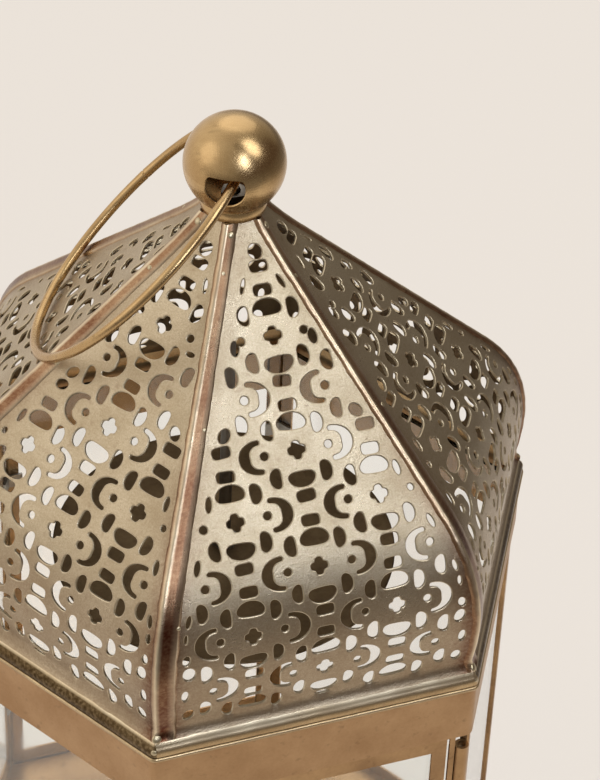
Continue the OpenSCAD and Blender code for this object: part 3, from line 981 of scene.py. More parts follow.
class DomeSurface:
    """Turns a place on a panel into a point of the lantern."""

    def __init__(self, profile: DomeProfile) -> None:
        """Walks the profile once."""
        self.rows = profile.table()
        self.length = float(self.rows[0, -1])

    def section(self, s: np.ndarray, lift: np.ndarray | float = 0.0) -> tuple[np.ndarray, np.ndarray]:
        """Apothem and height of points that stand off the panel.

        A point at run s and lift h is the profile's point plus h times its outward normal.

        Args:
            s: Lengths run up the panel.
            lift: Distances outside the panel's outer face.

        Returns:
            The apothems and the heights.
        """
        run, apothem, height, lean = self.rows
        angle = np.interp(s, run, lean)
        return (
            np.interp(s, run, apothem) + lift * np.cos(angle),
            np.interp(s, run, height) - lift * np.sin(angle),
        )

    def half_width(self, s: np.ndarray, lift: np.ndarray | float = 0.0) -> np.ndarray:
        """Half the width between the ridges at run s: the apothem times the tangent of 30 degrees."""
        return self.section(s, lift)[0] * math.tan(HALF)

    def point(self, t: np.ndarray, s: np.ndarray, lift: np.ndarray | float, side: int) -> np.ndarray:
        """Points of the lantern for places t, s and lift on one side.

        Args:
            t: Places across the panel.
            s: Lengths run up it.
            lift: Distances outside its outer face.
            side: Number of the side, 0 to 5.

        Returns:
            The points, one row each.
        """
        a, z = self.section(s, lift)
        t, a, z = np.broadcast_arrays(t, a, z)
        return turned(np.stack([t, -a, z], -1), 2 * HALF * side)


def rounded(corners: list[tuple[float, float]], steps: int = 3) -> np.ndarray:
    """Closed smooth outline drawn by a few corners.

    A quadratic B-spline: near corner p between neighbours q and r the curve is
    q(1-u)^2/2 + p(1/2+u-u^2) + r u^2/2, for u from 0 to 1.

    Args:
        corners: Corners of the outline, in order.
        steps: Points for each corner.

    Returns:
        Points of the outline.
    """
    p = np.array(corners, dtype=float)[:, None]
    u = ((np.arange(steps) + 0.5) / steps)[None, :, None]
    q, r = np.roll(p, 1, axis=0), np.roll(p, -1, axis=0)
    return (q * (1 - u) ** 2 / 2 + p * (0.5 + u - u**2) + r * u**2 / 2).reshape(-1, 2)


@dataclass(frozen=True)
class Piercing:
    """Lattice of pierced motifs, in repeating flowers.

    Attributes:
        column: Distance between columns.
        row: Distance between the flowers of one column.
        first: Run of the first row of flowers.
        lapped: Plain border at the panel's left.
        plain: Plain border at its right.
        crest: Plain border above the crest.
        neck: Plain border at the neck.
        least: Smallest piece of a motif, in square millimetres, that is still cut.
        whole: Share of a motif that has to lie inside the borders for it to be cut as it is.
        uneven: Spread of the motifs' sizes, of their turns in radians and of their places.
    """

    column: float = 22.0
    row: float = 33.75
    first: float = 16.6
    lapped: float = 7.4
    plain: float = 3.2
    crest: float = 4.2
    neck: float = 4.0
    least: float = 3.0
    whole: float = 0.93
    uneven: tuple[float, float, float] = (0.02, 0.03, 0.12)

    def flower(self) -> np.ndarray:
        """Four round lobes: radius 2.44 + 0.38 cos 4a - 0.12 cos 8a.

        Returns:
            Points of the outline.
        """
        a = np.arange(40) / 40 * 2 * np.pi
        r = 2.44 + 0.38 * np.cos(4 * a) - 0.12 * np.cos(8 * a)
        return np.stack([r * np.cos(a), r * np.sin(a)], 1)

    def dot(self) -> np.ndarray:
        """Round hole of 2.5 mm."""
        a = np.arange(14) / 14 * 2 * np.pi
        return 1.25 * np.stack([np.cos(a), np.sin(a)], 1)

    def crescent(self) -> np.ndarray:
        """Thick crescent with round tips.

        Its middle line runs over angles a of 106 degrees each way, at radius 3.25 + 1.18 (a/106)^2,
        and its half width is 0.72 + 0.93 cos^2 of 90 degrees times a/106.

        Returns:
            Points of the outline.
        """
        share = np.linspace(-1, 1, 15)
        a = np.radians(106) * share
        way = np.stack([np.cos(a), np.sin(a)], 1)
        line = (3.25 + 1.18 * share**2)[:, None] * way
        half = (0.72 + 0.93 * np.cos(np.pi / 2 * share) ** 2)[:, None] * way
        tips = []
        for end, start in ((-1, 0.0), (0, np.pi)):
            round_a = a[end] + start + np.radians([45, 90, 135])
            tips.append(line[end] + 0.72 * np.stack([np.cos(round_a), np.sin(round_a)], 1))
        return np.concatenate([line + half, tips[0], (line - half)[::-1], tips[1]])

    def moon(self, wide: float, high: float) -> np.ndarray:
        """Half-moon with its flat side below, all corners soft.

        Args:
            wide: Its width.
            high: Its height.

        Returns:
            Points of the outline.
        """
        half = [(0.22, -0.52), (0.47, -0.44), (0.56, -0.06), (0.38, 0.38), (0.13, 0.54)]
        outline = half + [(-x, y) for x, y in reversed(half)]
        return rounded([(x * wide, y * high) for x, y in outline])

    def bar(self) -> np.ndarray:
        """Short bar with soft ends.

        Returns:
            Points of the outline.
        """
        corner = [(0.0, -0.5), (0.48, -0.49), (0.54, 0.0), (0.48, 0.49)]
        outline = corner + [(-x, -y) for x, y in corner]
        return rounded([(x * 5.3, y * 3.4) for x, y in outline])

    def motifs(self) -> list[np.ndarray]:
        """Outlines of one flower and of all that belongs to it, about its centre.

        Returns:
            One outline for each hole.
        """
        moon, bar, bean, crescent, dot = (
            self.moon(8.2, 4.6),
            self.bar(),
            self.moon(5.6, 3.3),
            self.crescent(),
            self.dot(),
        )
        found = [self.flower()]
        for sx in (-1, 1):
            found += [dot + [9.7 * sx, 0], crescent * [sx, 1] + [12.5 * sx, 0]]
            upright = np.stack([bean[:, 1], -bean[:, 0]], 1) * [sx, 1]
            found += [upright + [7.6 * sx, 7.0 * sy] for sy in (-1, 1)]
        for sy in (-1, 1):
            found += [moon * [1, sy] + [0, 8.5 * sy], bar + [0, 13.4 * sy]]
        return found

    def holes(self, surface: DomeSurface, seed: int) -> list[np.ndarray]:
        """Outlines of every hole of one panel, trimmed at its plain borders.

        Args:
            surface: The dome's surface.
            seed: Seed of the small irregularities of hand work.

        Returns:
            Outlines, in the panel's t and s, each running anticlockwise.
        """
        rng = np.random.default_rng(seed)
        borders = (
            lambda p: p[:, 0] + surface.half_width(p[:, 1]) - self.lapped,
            lambda p: surface.half_width(p[:, 1]) - self.plain - p[:, 0],
            lambda p: p[:, 1] - self.crest,
            lambda p: surface.length - self.neck - p[:, 1],
        )
        shift = (self.lapped - self.plain) / 2
        sizes, turns, places = self.uneven
        motifs, found = self.motifs(), []
        for c in range(-3, 4):
            for r in range(-1, 5):
                centre = [shift + c * self.column, self.first + (r + 0.5 * (c % 2)) * self.row]
                for motif in motifs:
                    place = motif.mean(axis=0)
                    grow = rng.normal(1.0, sizes)
                    lean = rng.normal(0.0, turns)
                    spin = np.array([[math.cos(lean), math.sin(lean)], [-math.sin(lean), math.cos(lean)]])
                    loop = (motif - place) * grow @ spin + place + centre + rng.normal(0, places, 2)
                    cut = loop
                    for gap in borders:
                        if len(cut) > 2:
                            cut = trimmed(cut, gap)
                    area = abs(signed_area(cut))
                    if area < self.whole * abs(signed_area(loop)):
                        loop = filler(cut) if area > self.least else cut[:0]
                    if len(loop):
                        found.append(loop if signed_area(loop) > 0 else loop[::-1])
        return found


def signed_area(loop: np.ndarray) -> float:
    """Area inside a closed outline, positive if it runs anticlockwise.

    Args:
        loop: Points of the outline.

    Returns:
        The area.
    """
    if len(loop) < 3:
        return 0.0
    following = np.roll(loop, -1, axis=0)
    return float(np.sum(loop[:, 0] * following[:, 1] - loop[:, 1] * following[:, 0]) / 2)


def trimmed(loop: np.ndarray, gap: Callable[[np.ndarray], np.ndarray]) -> np.ndarray:
    """Part of a closed outline on one side of a border.

    Each point with a positive gap is kept, and each stretch that crosses the border gives the point
    at which the gap, taken as linear along it, is zero.

    Args:
        loop: Points of the outline.
        gap: Distance of points inside the border.

    Returns:
        Points of the trimmed outline.
    """
    here = gap(loop)
    if (here >= 0).all():
        return loop
    there, following = np.roll(here, -1), np.roll(loop, -1, axis=0)
    crosses = (here >= 0) != (there >= 0)
    share = np.where(crosses, here / np.where(crosses, here - there, 1.0), 0.0)[:, None]
    both = np.stack([loop, loop + share * (following - loop)], 1).reshape(-1, 2)
    return both[np.stack([here >= 0, crosses], 1).ravel()]


def filler(loop: np.ndarray) -> np.ndarray:
    """Small oval hole in what a border leaves of a motif.

    The oval's half axes are 1.15 times the outline's standard deviations along its main
    directions.

    Args:
        loop: Points of the outline.

    Returns:
        Points of the oval.
    """
    middle = loop.mean(axis=0)
    _, size, axes = np.linalg.svd(loop - middle, full_matrices=False)
    radii = np.clip(1.15 * size / math.sqrt(len(loop)), 0.55, 2.3)
    a = np.arange(16) / 16 * 2 * np.pi
    return middle + np.stack([np.cos(a), np.sin(a)], 1) * radii @ axes


def widened(loop: np.ndarray, by: float) -> np.ndarray:
    """Outline moved outwards: each point goes along the normal of its neighbours' chord.

    Args:
        loop: Points of the outline.
        by: Distance moved.

    Returns:
        Points of the wider outline.
    """
    chord = np.roll(loop, -1, axis=0) - np.roll(loop, 1, axis=0)
    chord /= np.maximum(np.linalg.norm(chord, axis=1, keepdims=True), 1e-9)
    return loop + by * np.stack([chord[:, 1], -chord[:, 0]], 1)


@dataclass(frozen=True)
class DomePanels:
    """Six bent sheets, pierced by hand.

    Attributes:
        piercing: The lattice.
        net: Distance between the free points of the mesh.
        burr_w: Width of the rounding at each hole.
        burr_h: Depth of that rounding.
        bows: How far each roof's middle stands out between the ridges; the ring rests on the fifth.
        bow_foot: Runs at which the bow starts and is whole.
        bow_neck: Distance from the neck at which it starts to fade again.
        shade_right: Share of the painted shade at the right seam, its width and its fall.
        shade_left: The same at the left seam, past the lap of the cap.
    """

    piercing: Piercing = Piercing()
    net: float = 3.0
    burr_w: float = 0.28
    burr_h: float = 0.16
    bows: tuple[float, ...] = (0.8, 0.8, 0.8, 0.8, 0.2, 0.8)
    bow_foot: tuple[float, float] = (34.0, 60.0)
    bow_neck: float = 30.0
    shade_right: tuple[float, float, float] = (0.9, 1.6, 3.0)
    shade_left: tuple[float, float, float] = (0.55, 5.8, 2.2)

    def build(self, surface: DomeSurface, materials: Materials) -> None:
        """Makes and dresses the six panels.

        Args:
            surface: The dome's surface.
            materials: The lantern's materials.
        """
        for side in range(SIDES):
            name = f"dome_panel_{side + 1}"
            piece = self._panel(surface, side).build(f"pierced_{name}", sharp=22)
            put(piece, [materials["panel"], materials["lining"]], "root", "pierced_brass", name)

    def _panel(self, surface: DomeSurface, side: int) -> Shell:
        """One panel: a flat net laid on the dome's surface twice, with every open edge walled.

        The outer face stands out by the bow and sinks at the holes' edges. The inner face lies one
        sheet below it and is drawn in to the mitre.

        Args:
            surface: The dome's surface.
            side: Number of the side, 0 to 5.

        Returns:
            The panel's surface.
        """
        place, triangles, at_hole = self._net(surface, self.piercing.holes(surface, 11 + side))
        t, s = place.T
        rise = np.interp(s, self.bow_foot, (0, 1)) * np.clip((surface.length - s) / self.bow_neck, 0, 1)
        bowed = self.bows[side] * rise * (1 - np.clip(t / surface.half_width(s), -1, 1) ** 2)
        outer = surface.point(t, s, bowed - self.burr_h * at_hole, side)
        width = surface.half_width(s, -SHEET) - MITRE_GAP
        inner = surface.point(np.clip(t, -width, width), s, bowed - SHEET, side)
        # Painted shade on the outer face along the seams and at the foot.
        painted_shade = self._seam_shade(surface, t, s)
        inward = triangles[:, ::-1]
        shell = Shell()
        # Painted highlight mask round each hole: full on the outer face, half on the inner face.
        first = shell.add(outer, triangles, place[triangles], edge=at_hole.astype(float), painted_shade=painted_shade)
        second = shell.add(inner, inward, place[inward], 1, at_hole * 0.5)
        sides = np.concatenate([triangles[:, [0, 1]], triangles[:, [1, 2]], triangles[:, [2, 0]]])
        key = np.sort(sides, axis=1)
        _, index, count = np.unique(key, axis=0, return_index=True, return_counts=True)
        a, b = sides[index[count == 1]].T
        wall = np.stack([b + first, a + first, a + second, b + second], 1)
        shell.add_faces(wall, np.stack([place[b], place[a], place[a] + SHEET, place[b] + SHEET], 1))
        return shell

    def _net(
        self, surface: DomeSurface, holes: list[np.ndarray]
    ) -> tuple[np.ndarray, np.ndarray, np.ndarray]:
        """Flat net of triangles between a panel's border and its holes.

        It is the constrained Delaunay triangulation of the border, the holes, a ring round each
        hole and a loose grid.

        Args:
            surface: The dome's surface.
            holes: Outlines of the holes.

        Returns:
            The net's points, its triangles and a mark for each point at a hole's edge.
        """
        rings = [widened(loop, self.burr_w) for loop in holes]
        border = self._border(surface)
        free = self._free_points(surface, np.concatenate(holes + rings))
        points = [border, free, *rings, *holes]
        starts = np.concatenate([[0], np.cumsum([len(p) for p in points])]).tolist()
        hole_starts = starts[2 + len(rings) :]
        edges = []
        for first, count in [(0, len(border)), *zip(starts[2:], map(len, rings))]:
            index = np.arange(count)
            edges += np.stack([first + index, first + (index + 1) % count], 1).tolist()
        cut_out = [list(range(a, b)) for a, b in zip(hole_starts, hole_starts[1:])]
        flat = [Vector(p) for p in np.concatenate(points).tolist()]
        found, _, faces, came_from, _, from_cut = delaunay_2d_cdt(flat, edges, cut_out, 1, 1e-5)
        place = np.array([tuple(v) for v in found])
        at_hole = np.array([ids[0] if ids else 0 for ids in came_from]) >= hole_starts[0]
        kept = np.array([face for face, cuts in zip(faces, from_cut) if not cuts])
        used, triangles = np.unique(kept, return_inverse=True)
        return place[used], triangles.reshape(-1, 3), at_hole[used]

    def _border(self, surface: DomeSurface) -> np.ndarray:
        """Outline of a panel, up its right edge, over the neck, down its left and along the foot.

        Args:
            surface: The dome's surface.

        Returns:
            Points of the outline.
        """
        edge_s = np.linspace(0, surface.length, 150)
        edge_w = surface.half_width(edge_s) - MITRE_GAP
        top = np.linspace(edge_w[-1], -edge_w[-1], 7)[1:-1]
        foot = np.linspace(-edge_w[0], edge_w[0], 60)[1:-1]
        t = np.concatenate([edge_w, top, -edge_w[::-1], foot])
        s = np.concatenate([edge_s, np.full(len(top), surface.length), edge_s[::-1], np.zeros(len(foot))])
        return np.stack([t, s], 1)

    def _seam_shade(self, surface: DomeSurface, t: np.ndarray, s: np.ndarray) -> np.ndarray:
        """Painted shade on the sheet: along the soldered seams, most of all low down, and at its foot.

        Each seam adds a share that falls off by e over a few millimetres, and the foot adds one that
        falls off evenly up to 34 mm.

        Args:
            surface: The dome's surface.
            t: Places across the panel.
            s: Lengths run up the panel.

        Returns:
            The mask, from 0 to 1.
        """
        half = surface.half_width(s)
        low = np.clip((95 - s) / 60, 0, 1)
        (right, width, fall), (left, lap, left_fall) = self.shade_right, self.shade_left
        right = right * np.exp(-np.maximum(half - t - width, 0) / fall) * low
        left = left * np.exp(-np.maximum(half + t - lap, 0) / left_fall) * (0.3 + 0.7 * low)
        return np.clip(right + left + 0.3 * np.clip((46 - s) / 16, 0, 1), 0, 1)

    def _free_points(self, surface: DomeSurface, taken: np.ndarray) -> np.ndarray:
        """Points of a staggered grid that keep 1 mm away from the holes and the border.

        The flare at the foot, which bends most, gets a second and finer grid. Places near a hole
        are marked on a half-millimetre raster, whose marks are widened by two cells each way, and
        the grid's points on marked cells are left out.

        Args:
            surface: The dome's surface.
            taken: Points of the holes and of the rings round them.

        Returns:
            The grid's points that are left.
        """
        flare, foot_net, per_mm, corner = 7.0, 0.7, 2, np.array([60, 5])
        rows = np.arange(flare + self.net / 2, surface.length - 1, self.net * 0.87)
        across = np.arange(-51, 51, self.net)
        s, t = np.meshgrid(rows, across, indexing="ij")
        t = t + (np.arange(len(rows)) % 2)[:, None] * self.net / 2
        foot_rows, foot_across = np.arange(foot_net, flare, foot_net), np.arange(-50, 51, 1.6)
        foot_s, foot_t = np.meshgrid(foot_rows, foot_across, indexing="ij")
        t, s = np.concatenate([t.ravel(), foot_t.ravel()]), np.concatenate([s.ravel(), foot_s.ravel()])
        grid = np.stack([t, s], 1)
        marks = np.zeros((260, 340), dtype=bool)
        marks[tuple(((taken + corner) * per_mm).astype(int).T)] = True
        wide = np.zeros_like(marks)
        for dx in range(-2, 3):
            for dy in range(-2, 3):
                wide |= np.roll(np.roll(marks, dx, axis=0), dy, axis=1)
        free = ~wide[tuple(((grid + corner) * per_mm).astype(int).T)]
        free &= np.abs(grid[:, 0]) < surface.half_width(grid[:, 1]) - 1.0
        return grid[free]


@dataclass(frozen=True)
class SeamCaps:
    """Six folded strips soldered over the ridges.

    Attributes:
        wide_eave: Width of the wide leg at the eave.
        wide_neck: Width of the wide leg at the neck.
        narrow: Width of the narrow leg.
        fillet: Width of the solder along the wide leg.
        rough: How far the edges wander.
        drops: Length run and share of the wide leg of each drop of solder.
    """

    wide_eave: float = 5.8
    wide_neck: float = 3.0
    narrow: float = 1.6
    fillet: float = 0.55
    rough: float = 0.22
    drops: tuple[tuple[float, float], ...] = ((41.0, 1.0), (95.0, 0.85), (138.0, 0.4))

    def build(self, surface: DomeSurface, materials: Materials) -> None:
        """Makes and dresses the six caps.

        Args:
            surface: The dome's surface.
            materials: The lantern's materials.
        """
        for side in range(SIDES):
            name = f"seam_cap_{side + 1}"
            shell = self._cap(surface, side)
            self._beads(surface, side, shell)
            piece = shell.build(f"folded_{name}", sharp=50)
            put(piece, [materials["cap"], materials["solder"]], "root", "brushed_brass", name)

    def _widths(self, surface: DomeSurface, s: np.ndarray, side: int) -> tuple[np.ndarray, np.ndarray]:
        """Widths of the two legs at run s, with the wander of their edges.

        Args:
            surface: The dome's surface.
            s: Lengths run up the ridge.
            side: Number of the side, 0 to 5.

        Returns:
            The widths of the wide leg and of the narrow one.
        """
        share = (surface.half_width(s[:1]) - surface.half_width(s)) / (
            surface.half_width(s[:1]) - surface.half_width(s[-1:])
        )
        wide = self.wide_eave + (self.wide_neck - self.wide_eave) * share
        return (
            wide + self.rough * 0.6 * ripple(s, 23, 40 + side, 5),
            self.narrow + self.rough * ripple(s, 11, 50 + side, 5),
        )

    def _cap(self, surface: DomeSurface, side: int) -> Shell:
        """The folded strip: its cross-section carried up the ridge.

        Each point of the section lies on the wide leg, at a distance d from the ridge on this side,
        or on the narrow leg, on the last side, and at a lift h off the panels.

        Args:
            surface: The dome's surface.
            side: Number of the side, 0 to 5.

        Returns:
            The cap's surface.
        """
        s = np.linspace(0.0, surface.length - 0.05, 170)
        wide, narrow = self._widths(surface, s, side)
        flow = self.fillet * (0.9 + 0.5 * ripple(s, 9, 60 + side, 5))
        lump = 0.08 * ripple(s, 6, 70 + side, 4)
        left = [
            (wide + flow, 0.0),
            (wide + flow * 0.45, 0.22),
            (wide + 0.02, 0.46),
            (wide - 0.18, CAP_T),
            (wide * 0.6, CAP_T),
            (wide * 0.25, CAP_T + 0.03 + lump * 0.3),
            (0.55 + 0 * s, CAP_T + 0.04 + lump * 0.5),
            (0.16 + 0 * s, CAP_T - 0.02 + lump * 0.5),
        ]
        right = [
            (0.16 + 0 * s, CAP_T - 0.02 + lump * 0.5),
            (0.55 + 0 * s, CAP_T + 0.03 + lump),
            (narrow - 0.25, CAP_T + 0.02 + lump),
            (narrow, 0.34),
            (narrow + 0.3 + 0.15 * ripple(s, 5, 80 + side, 4), 0.0),
        ]
        under = [(0.8 + 0 * s, 0.0), (0 * s, 0.0)]
        columns = []
        for d, h in left:
            columns.append(surface.point(d - surface.half_width(s, h), s, h, side))
        for d, h in right + under:
            columns.append(surface.point(surface.half_width(s, h) - d, s, h, side - 1))
        columns.append(surface.point(wide * 0.5 - surface.half_width(s), s, 0.0, side))
        # Painted highlight along the fold at the ridge and along the wide leg's edge.
        highlit = np.array([0, 0.3, 0.7, 0.4, 0, 0, 0.5, 1, 1, 0.6, 0.1, 0, 0, 0, 0, 0])
        edge = highlit * (0.75 + 0.25 * ripple(s, 31, 20 + side, 4))[:, None]
        # Painted shade across the legs, strongest on the wide leg and weakest at the fold, fading up the
        # ridge.
        legs = np.array([0.5, 0.5, 0.6, 0.8, 1, 1, 0.8, 0.3, 0.3, 0.5, 0.7, 0.7, 0.7, 0, 0, 0])
        painted_dark = np.clip(0.95 - s / 300, 0, 1) + 0.25 * ripple(s, 37, 30 + side, 4)
        painted_shade = np.clip(painted_dark[:, None] * legs, 0, 1)
        shell = Shell()
        shell.grid(np.stack(columns, 1), round_columns=True, capped=True, edge=edge, painted_shade=painted_shade)
        return shell

    def _beads(self, surface: DomeSurface, side: int, shell: Shell) -> None:
        """Drops of solder left along the cap's edge, at its fold and at both its ends.

        Args:
            surface: The dome's surface.
            side: Number of the side, 0 to 5.
            shell: The cap's surface, to which they are added.
        """
        rng = np.random.default_rng(90 + side)
        places = [(1.2, 0.1, 1.5, 0.5), (surface.length - 3.0, 0.6, 1.2, 0.5)]
        places += [
            (run + (rng.uniform(-12, 12) if side else 0.0), share, *rng.uniform([0.6, 0.25], [0.95, 0.4]))
            for run, share in self.drops
        ]
        lift = CAP_T * 0.7
        for s, share, wide, high in places:
            run = np.array([s])
            leg = self._widths(surface, np.array([0.0, s, surface.length]), side)[0][1]
            across = share * leg - surface.half_width(run, lift)
            spot, outside = (surface.point(across, run, h, side)[0] for h in (lift, lift + 1))
            shell.grid(bead(spot, outside - spot, wide, high), round_rows=True, finish=1)


@dataclass(frozen=True)
class Eave:
    """Pressed ring under the dome: rolled lip, groove, sloped skirt and crest.

    Attributes:
        side: Length of one side, at the lip.
        lip_h: Height of the rolled lip.
        wander: How far the ring strays from straight.
    """

    side: float = 102.0
    lip_h: float = 1.4
    wander: float = 0.12

    def outline(self) -> np.ndarray:
        """Section of the ring, from inside the band out over the lip and up to the crest.

        Returns:
            Points [apothem, height], in order.
        """
        z = EAVE_Z
        roll = [
            (LIP_A - 0.45, z + 0.0),
            (LIP_A - 0.16, z + 0.1),
            (LIP_A - 0.02, z + 0.42),
            (LIP_A, z + 0.8),
            (LIP_A - 0.12, z + 1.14),
            (LIP_A - 0.38, z + self.lip_h - 0.04),
        ]
        groove = [(LIP_A - 0.72, z + self.lip_h), (LIP_A - 1.02, z + self.lip_h + 0.04)]
        foot = (LIP_A - 0.98, z + self.lip_h + 0.34)
        skirt = [
            (LIP_A - 0.42, z + self.lip_h + 0.42),
            (LIP_A - 0.36, z + 2.7),
            (LIP_A - 0.42, z + 3.5),
            (LIP_A - 0.62, z + 4.1),
        ]
        crest = [
            (LIP_A - 0.98, z + 4.65),
            (LIP_A - 1.4, z + 5.25),
            (CREST_A + 0.1, CREST_Z - 0.12),
            (CREST_A - 0.4, CREST_Z + 0.3),
            (CREST_A - 0.7, CREST_Z + 0.6),
        ]
        inside = [(CREST_A - 0.9, CREST_Z - 0.1), (FRAME_A - 0.3, z + 1.6), (FRAME_A, z + 0.0)]
        return np.array([*roll, *groove, foot, *skirt, *crest, *inside])

    def build(self, surface: DomeSurface, materials: Materials) -> None:
        """Makes and dresses the ring, with its corner solder. On the door's side the crest gets more
        painted highlight and the skirt less painted shade than on the other sides.

        Args:
            surface: Not used.
            materials: The lantern's materials.
        """
        outline = self.outline()
        grid = around_hexagon(outline, core=LIP_A - 2.6, straight=70, bend=6)
        run = np.arange(len(grid)) / len(grid) * SIDES * self.side
        high = (outline[:, 1] - EAVE_Z) / (CREST_Z - EAVE_Z)
        grid[:, :, 2] += self.wander * ripple(run, 51, 5)[:, None] * np.clip(high, 0.0, 1.0)
        grid[:, :, 2] += 0.06 * ripple(run, 17, 6)[:, None] * (high > 0.1)
        # The door's side faces the lamps: it gets a wider painted highlight on the crest and only light
        # painted shade.
        door_side = (run < self.side)[:, None]
        highlit, painted_dark = np.zeros((2, 2, len(outline)))
        # Painted highlight on the lip all round, and on the crest, widest on the door's side.
        highlit[0, 3:5] = highlit[1, 3:5] = (0.3, 0.35)
        highlit[0, 12:17] = (0.4, 0.7, 0.8, 1.0, 0.7)
        highlit[1, 15:17] = (0.9, 0.5)
        # Painted shade on the groove and foot of the door's side, and over groove, skirt and crest foot on
        # the other sides.
        painted_dark[0, 6:9] = 0.4
        painted_dark[1, 6:15] = (0.9, 1, 1, 1, 1, 1, 1, 1, 0.9)
        edge = np.where(door_side, *highlit) * (0.7 + 0.3 * ripple(run, 43, 7))[:, None]
        painted_shade = np.where(door_side, *painted_dark) * (0.92 + 0.08 * ripple(run, 68, 9))[:, None]
        shell = Shell()
        shell.grid(grid, round_rows=True, round_columns=True, edge=edge, painted_shade=painted_shade)
        rng = np.random.default_rng(3)
        corner = np.array([0.0, -(LIP_A - 1.0) / math.cos(HALF), EAVE_Z + 3.6])
        for k in range(SIDES):
            spot, out = (turned(v, 2 * HALF * k + HALF) for v in (corner, np.array([0.0, -1.0, 0.25])))
            shell.grid(bead(spot, out, *rng.uniform([0.8, 0.3], [1.2, 0.4])), round_rows=True, finish=1)
        piece = shell.build("pressed_eave_rim", sharp=50)
        put(piece, [materials["eave"], materials["solder"]], "root", "brushed_brass", "eave_rim")


@dataclass(frozen=True)
class Bands:
    """Bent strips round the body: the top band, the base skirt and the foot rim.

    Attributes:
        top: Lower and upper edge of the top band.
        skirt: Lower and upper edge of the base skirt.
        foot: Lower and upper edge of the foot rim.
        foot_w: Width of the foot rim.
        bend_r: Outside radius at the corners.
    """

    top: tuple[float, float] = (170.5, 190.0)
    skirt: tuple[float, float] = (3.4, 21.5)
    foot: tuple[float, float] = (2.0, 3.4)
    foot_w: float = 8.4
    bend_r: float = 3.5

    def strip(self, low: float, high: float) -> np.ndarray:
        """Section of a bent strip with softened edges.

        Args:
            low: Height of its lower edge.
            high: Height of its upper edge.

        Returns:
            Points [apothem, height], in order.
        """
        soft = 0.18
        inner = BAND_A - SHEET
        return np.array(
            [
                (inner, low),
                (BAND_A - soft, low),
                (BAND_A, low + soft),
                (BAND_A, high - soft),
                (BAND_A - soft, high),
                (inner, high),
            ]
        )

    def build(self, materials: Materials) -> None:
        """Makes and dresses the strips and the foot rim.

        Args:
            materials: The lantern's materials.
        """
        core = BAND_A - self.bend_r
        for name, (low, high) in (("top_band", self.top), ("base_skirt", self.skirt)):
            grid = around_hexagon(self.strip(low, high), core=core, straight=24, bend=9)
            shell = Shell()
            shell.grid(grid, round_rows=True, round_columns=True)
            piece = shell.build(f"bent_{name}", sharp=40)
            put(piece, [materials["band"]], "root", "brushed_brass", name)
        low, high = self.foot
        inner = LIP_A - self.foot_w
        outline = np.array(
            [
                (inner, low),
                (LIP_A - 0.35, low),
                (LIP_A - 0.05, low + 0.25),
                (LIP_A, low + 0.7),
                (LIP_A - 0.05, high - 0.25),
                (LIP_A - 0.35, high),
                (inner, high),
            ]
        )
        grid = around_hexagon(outline, core=LIP_A - 1.2, straight=24, bend=5)
        shell = Shell()
        shell.grid(grid, round_rows=True, round_columns=True)
        piece = shell.build("folded_foot_rim", sharp=50)
        put(piece, [materials["band"]], "root", "brushed_brass", "foot_rim")


# ---------------------------------------------------------------- finial and ring


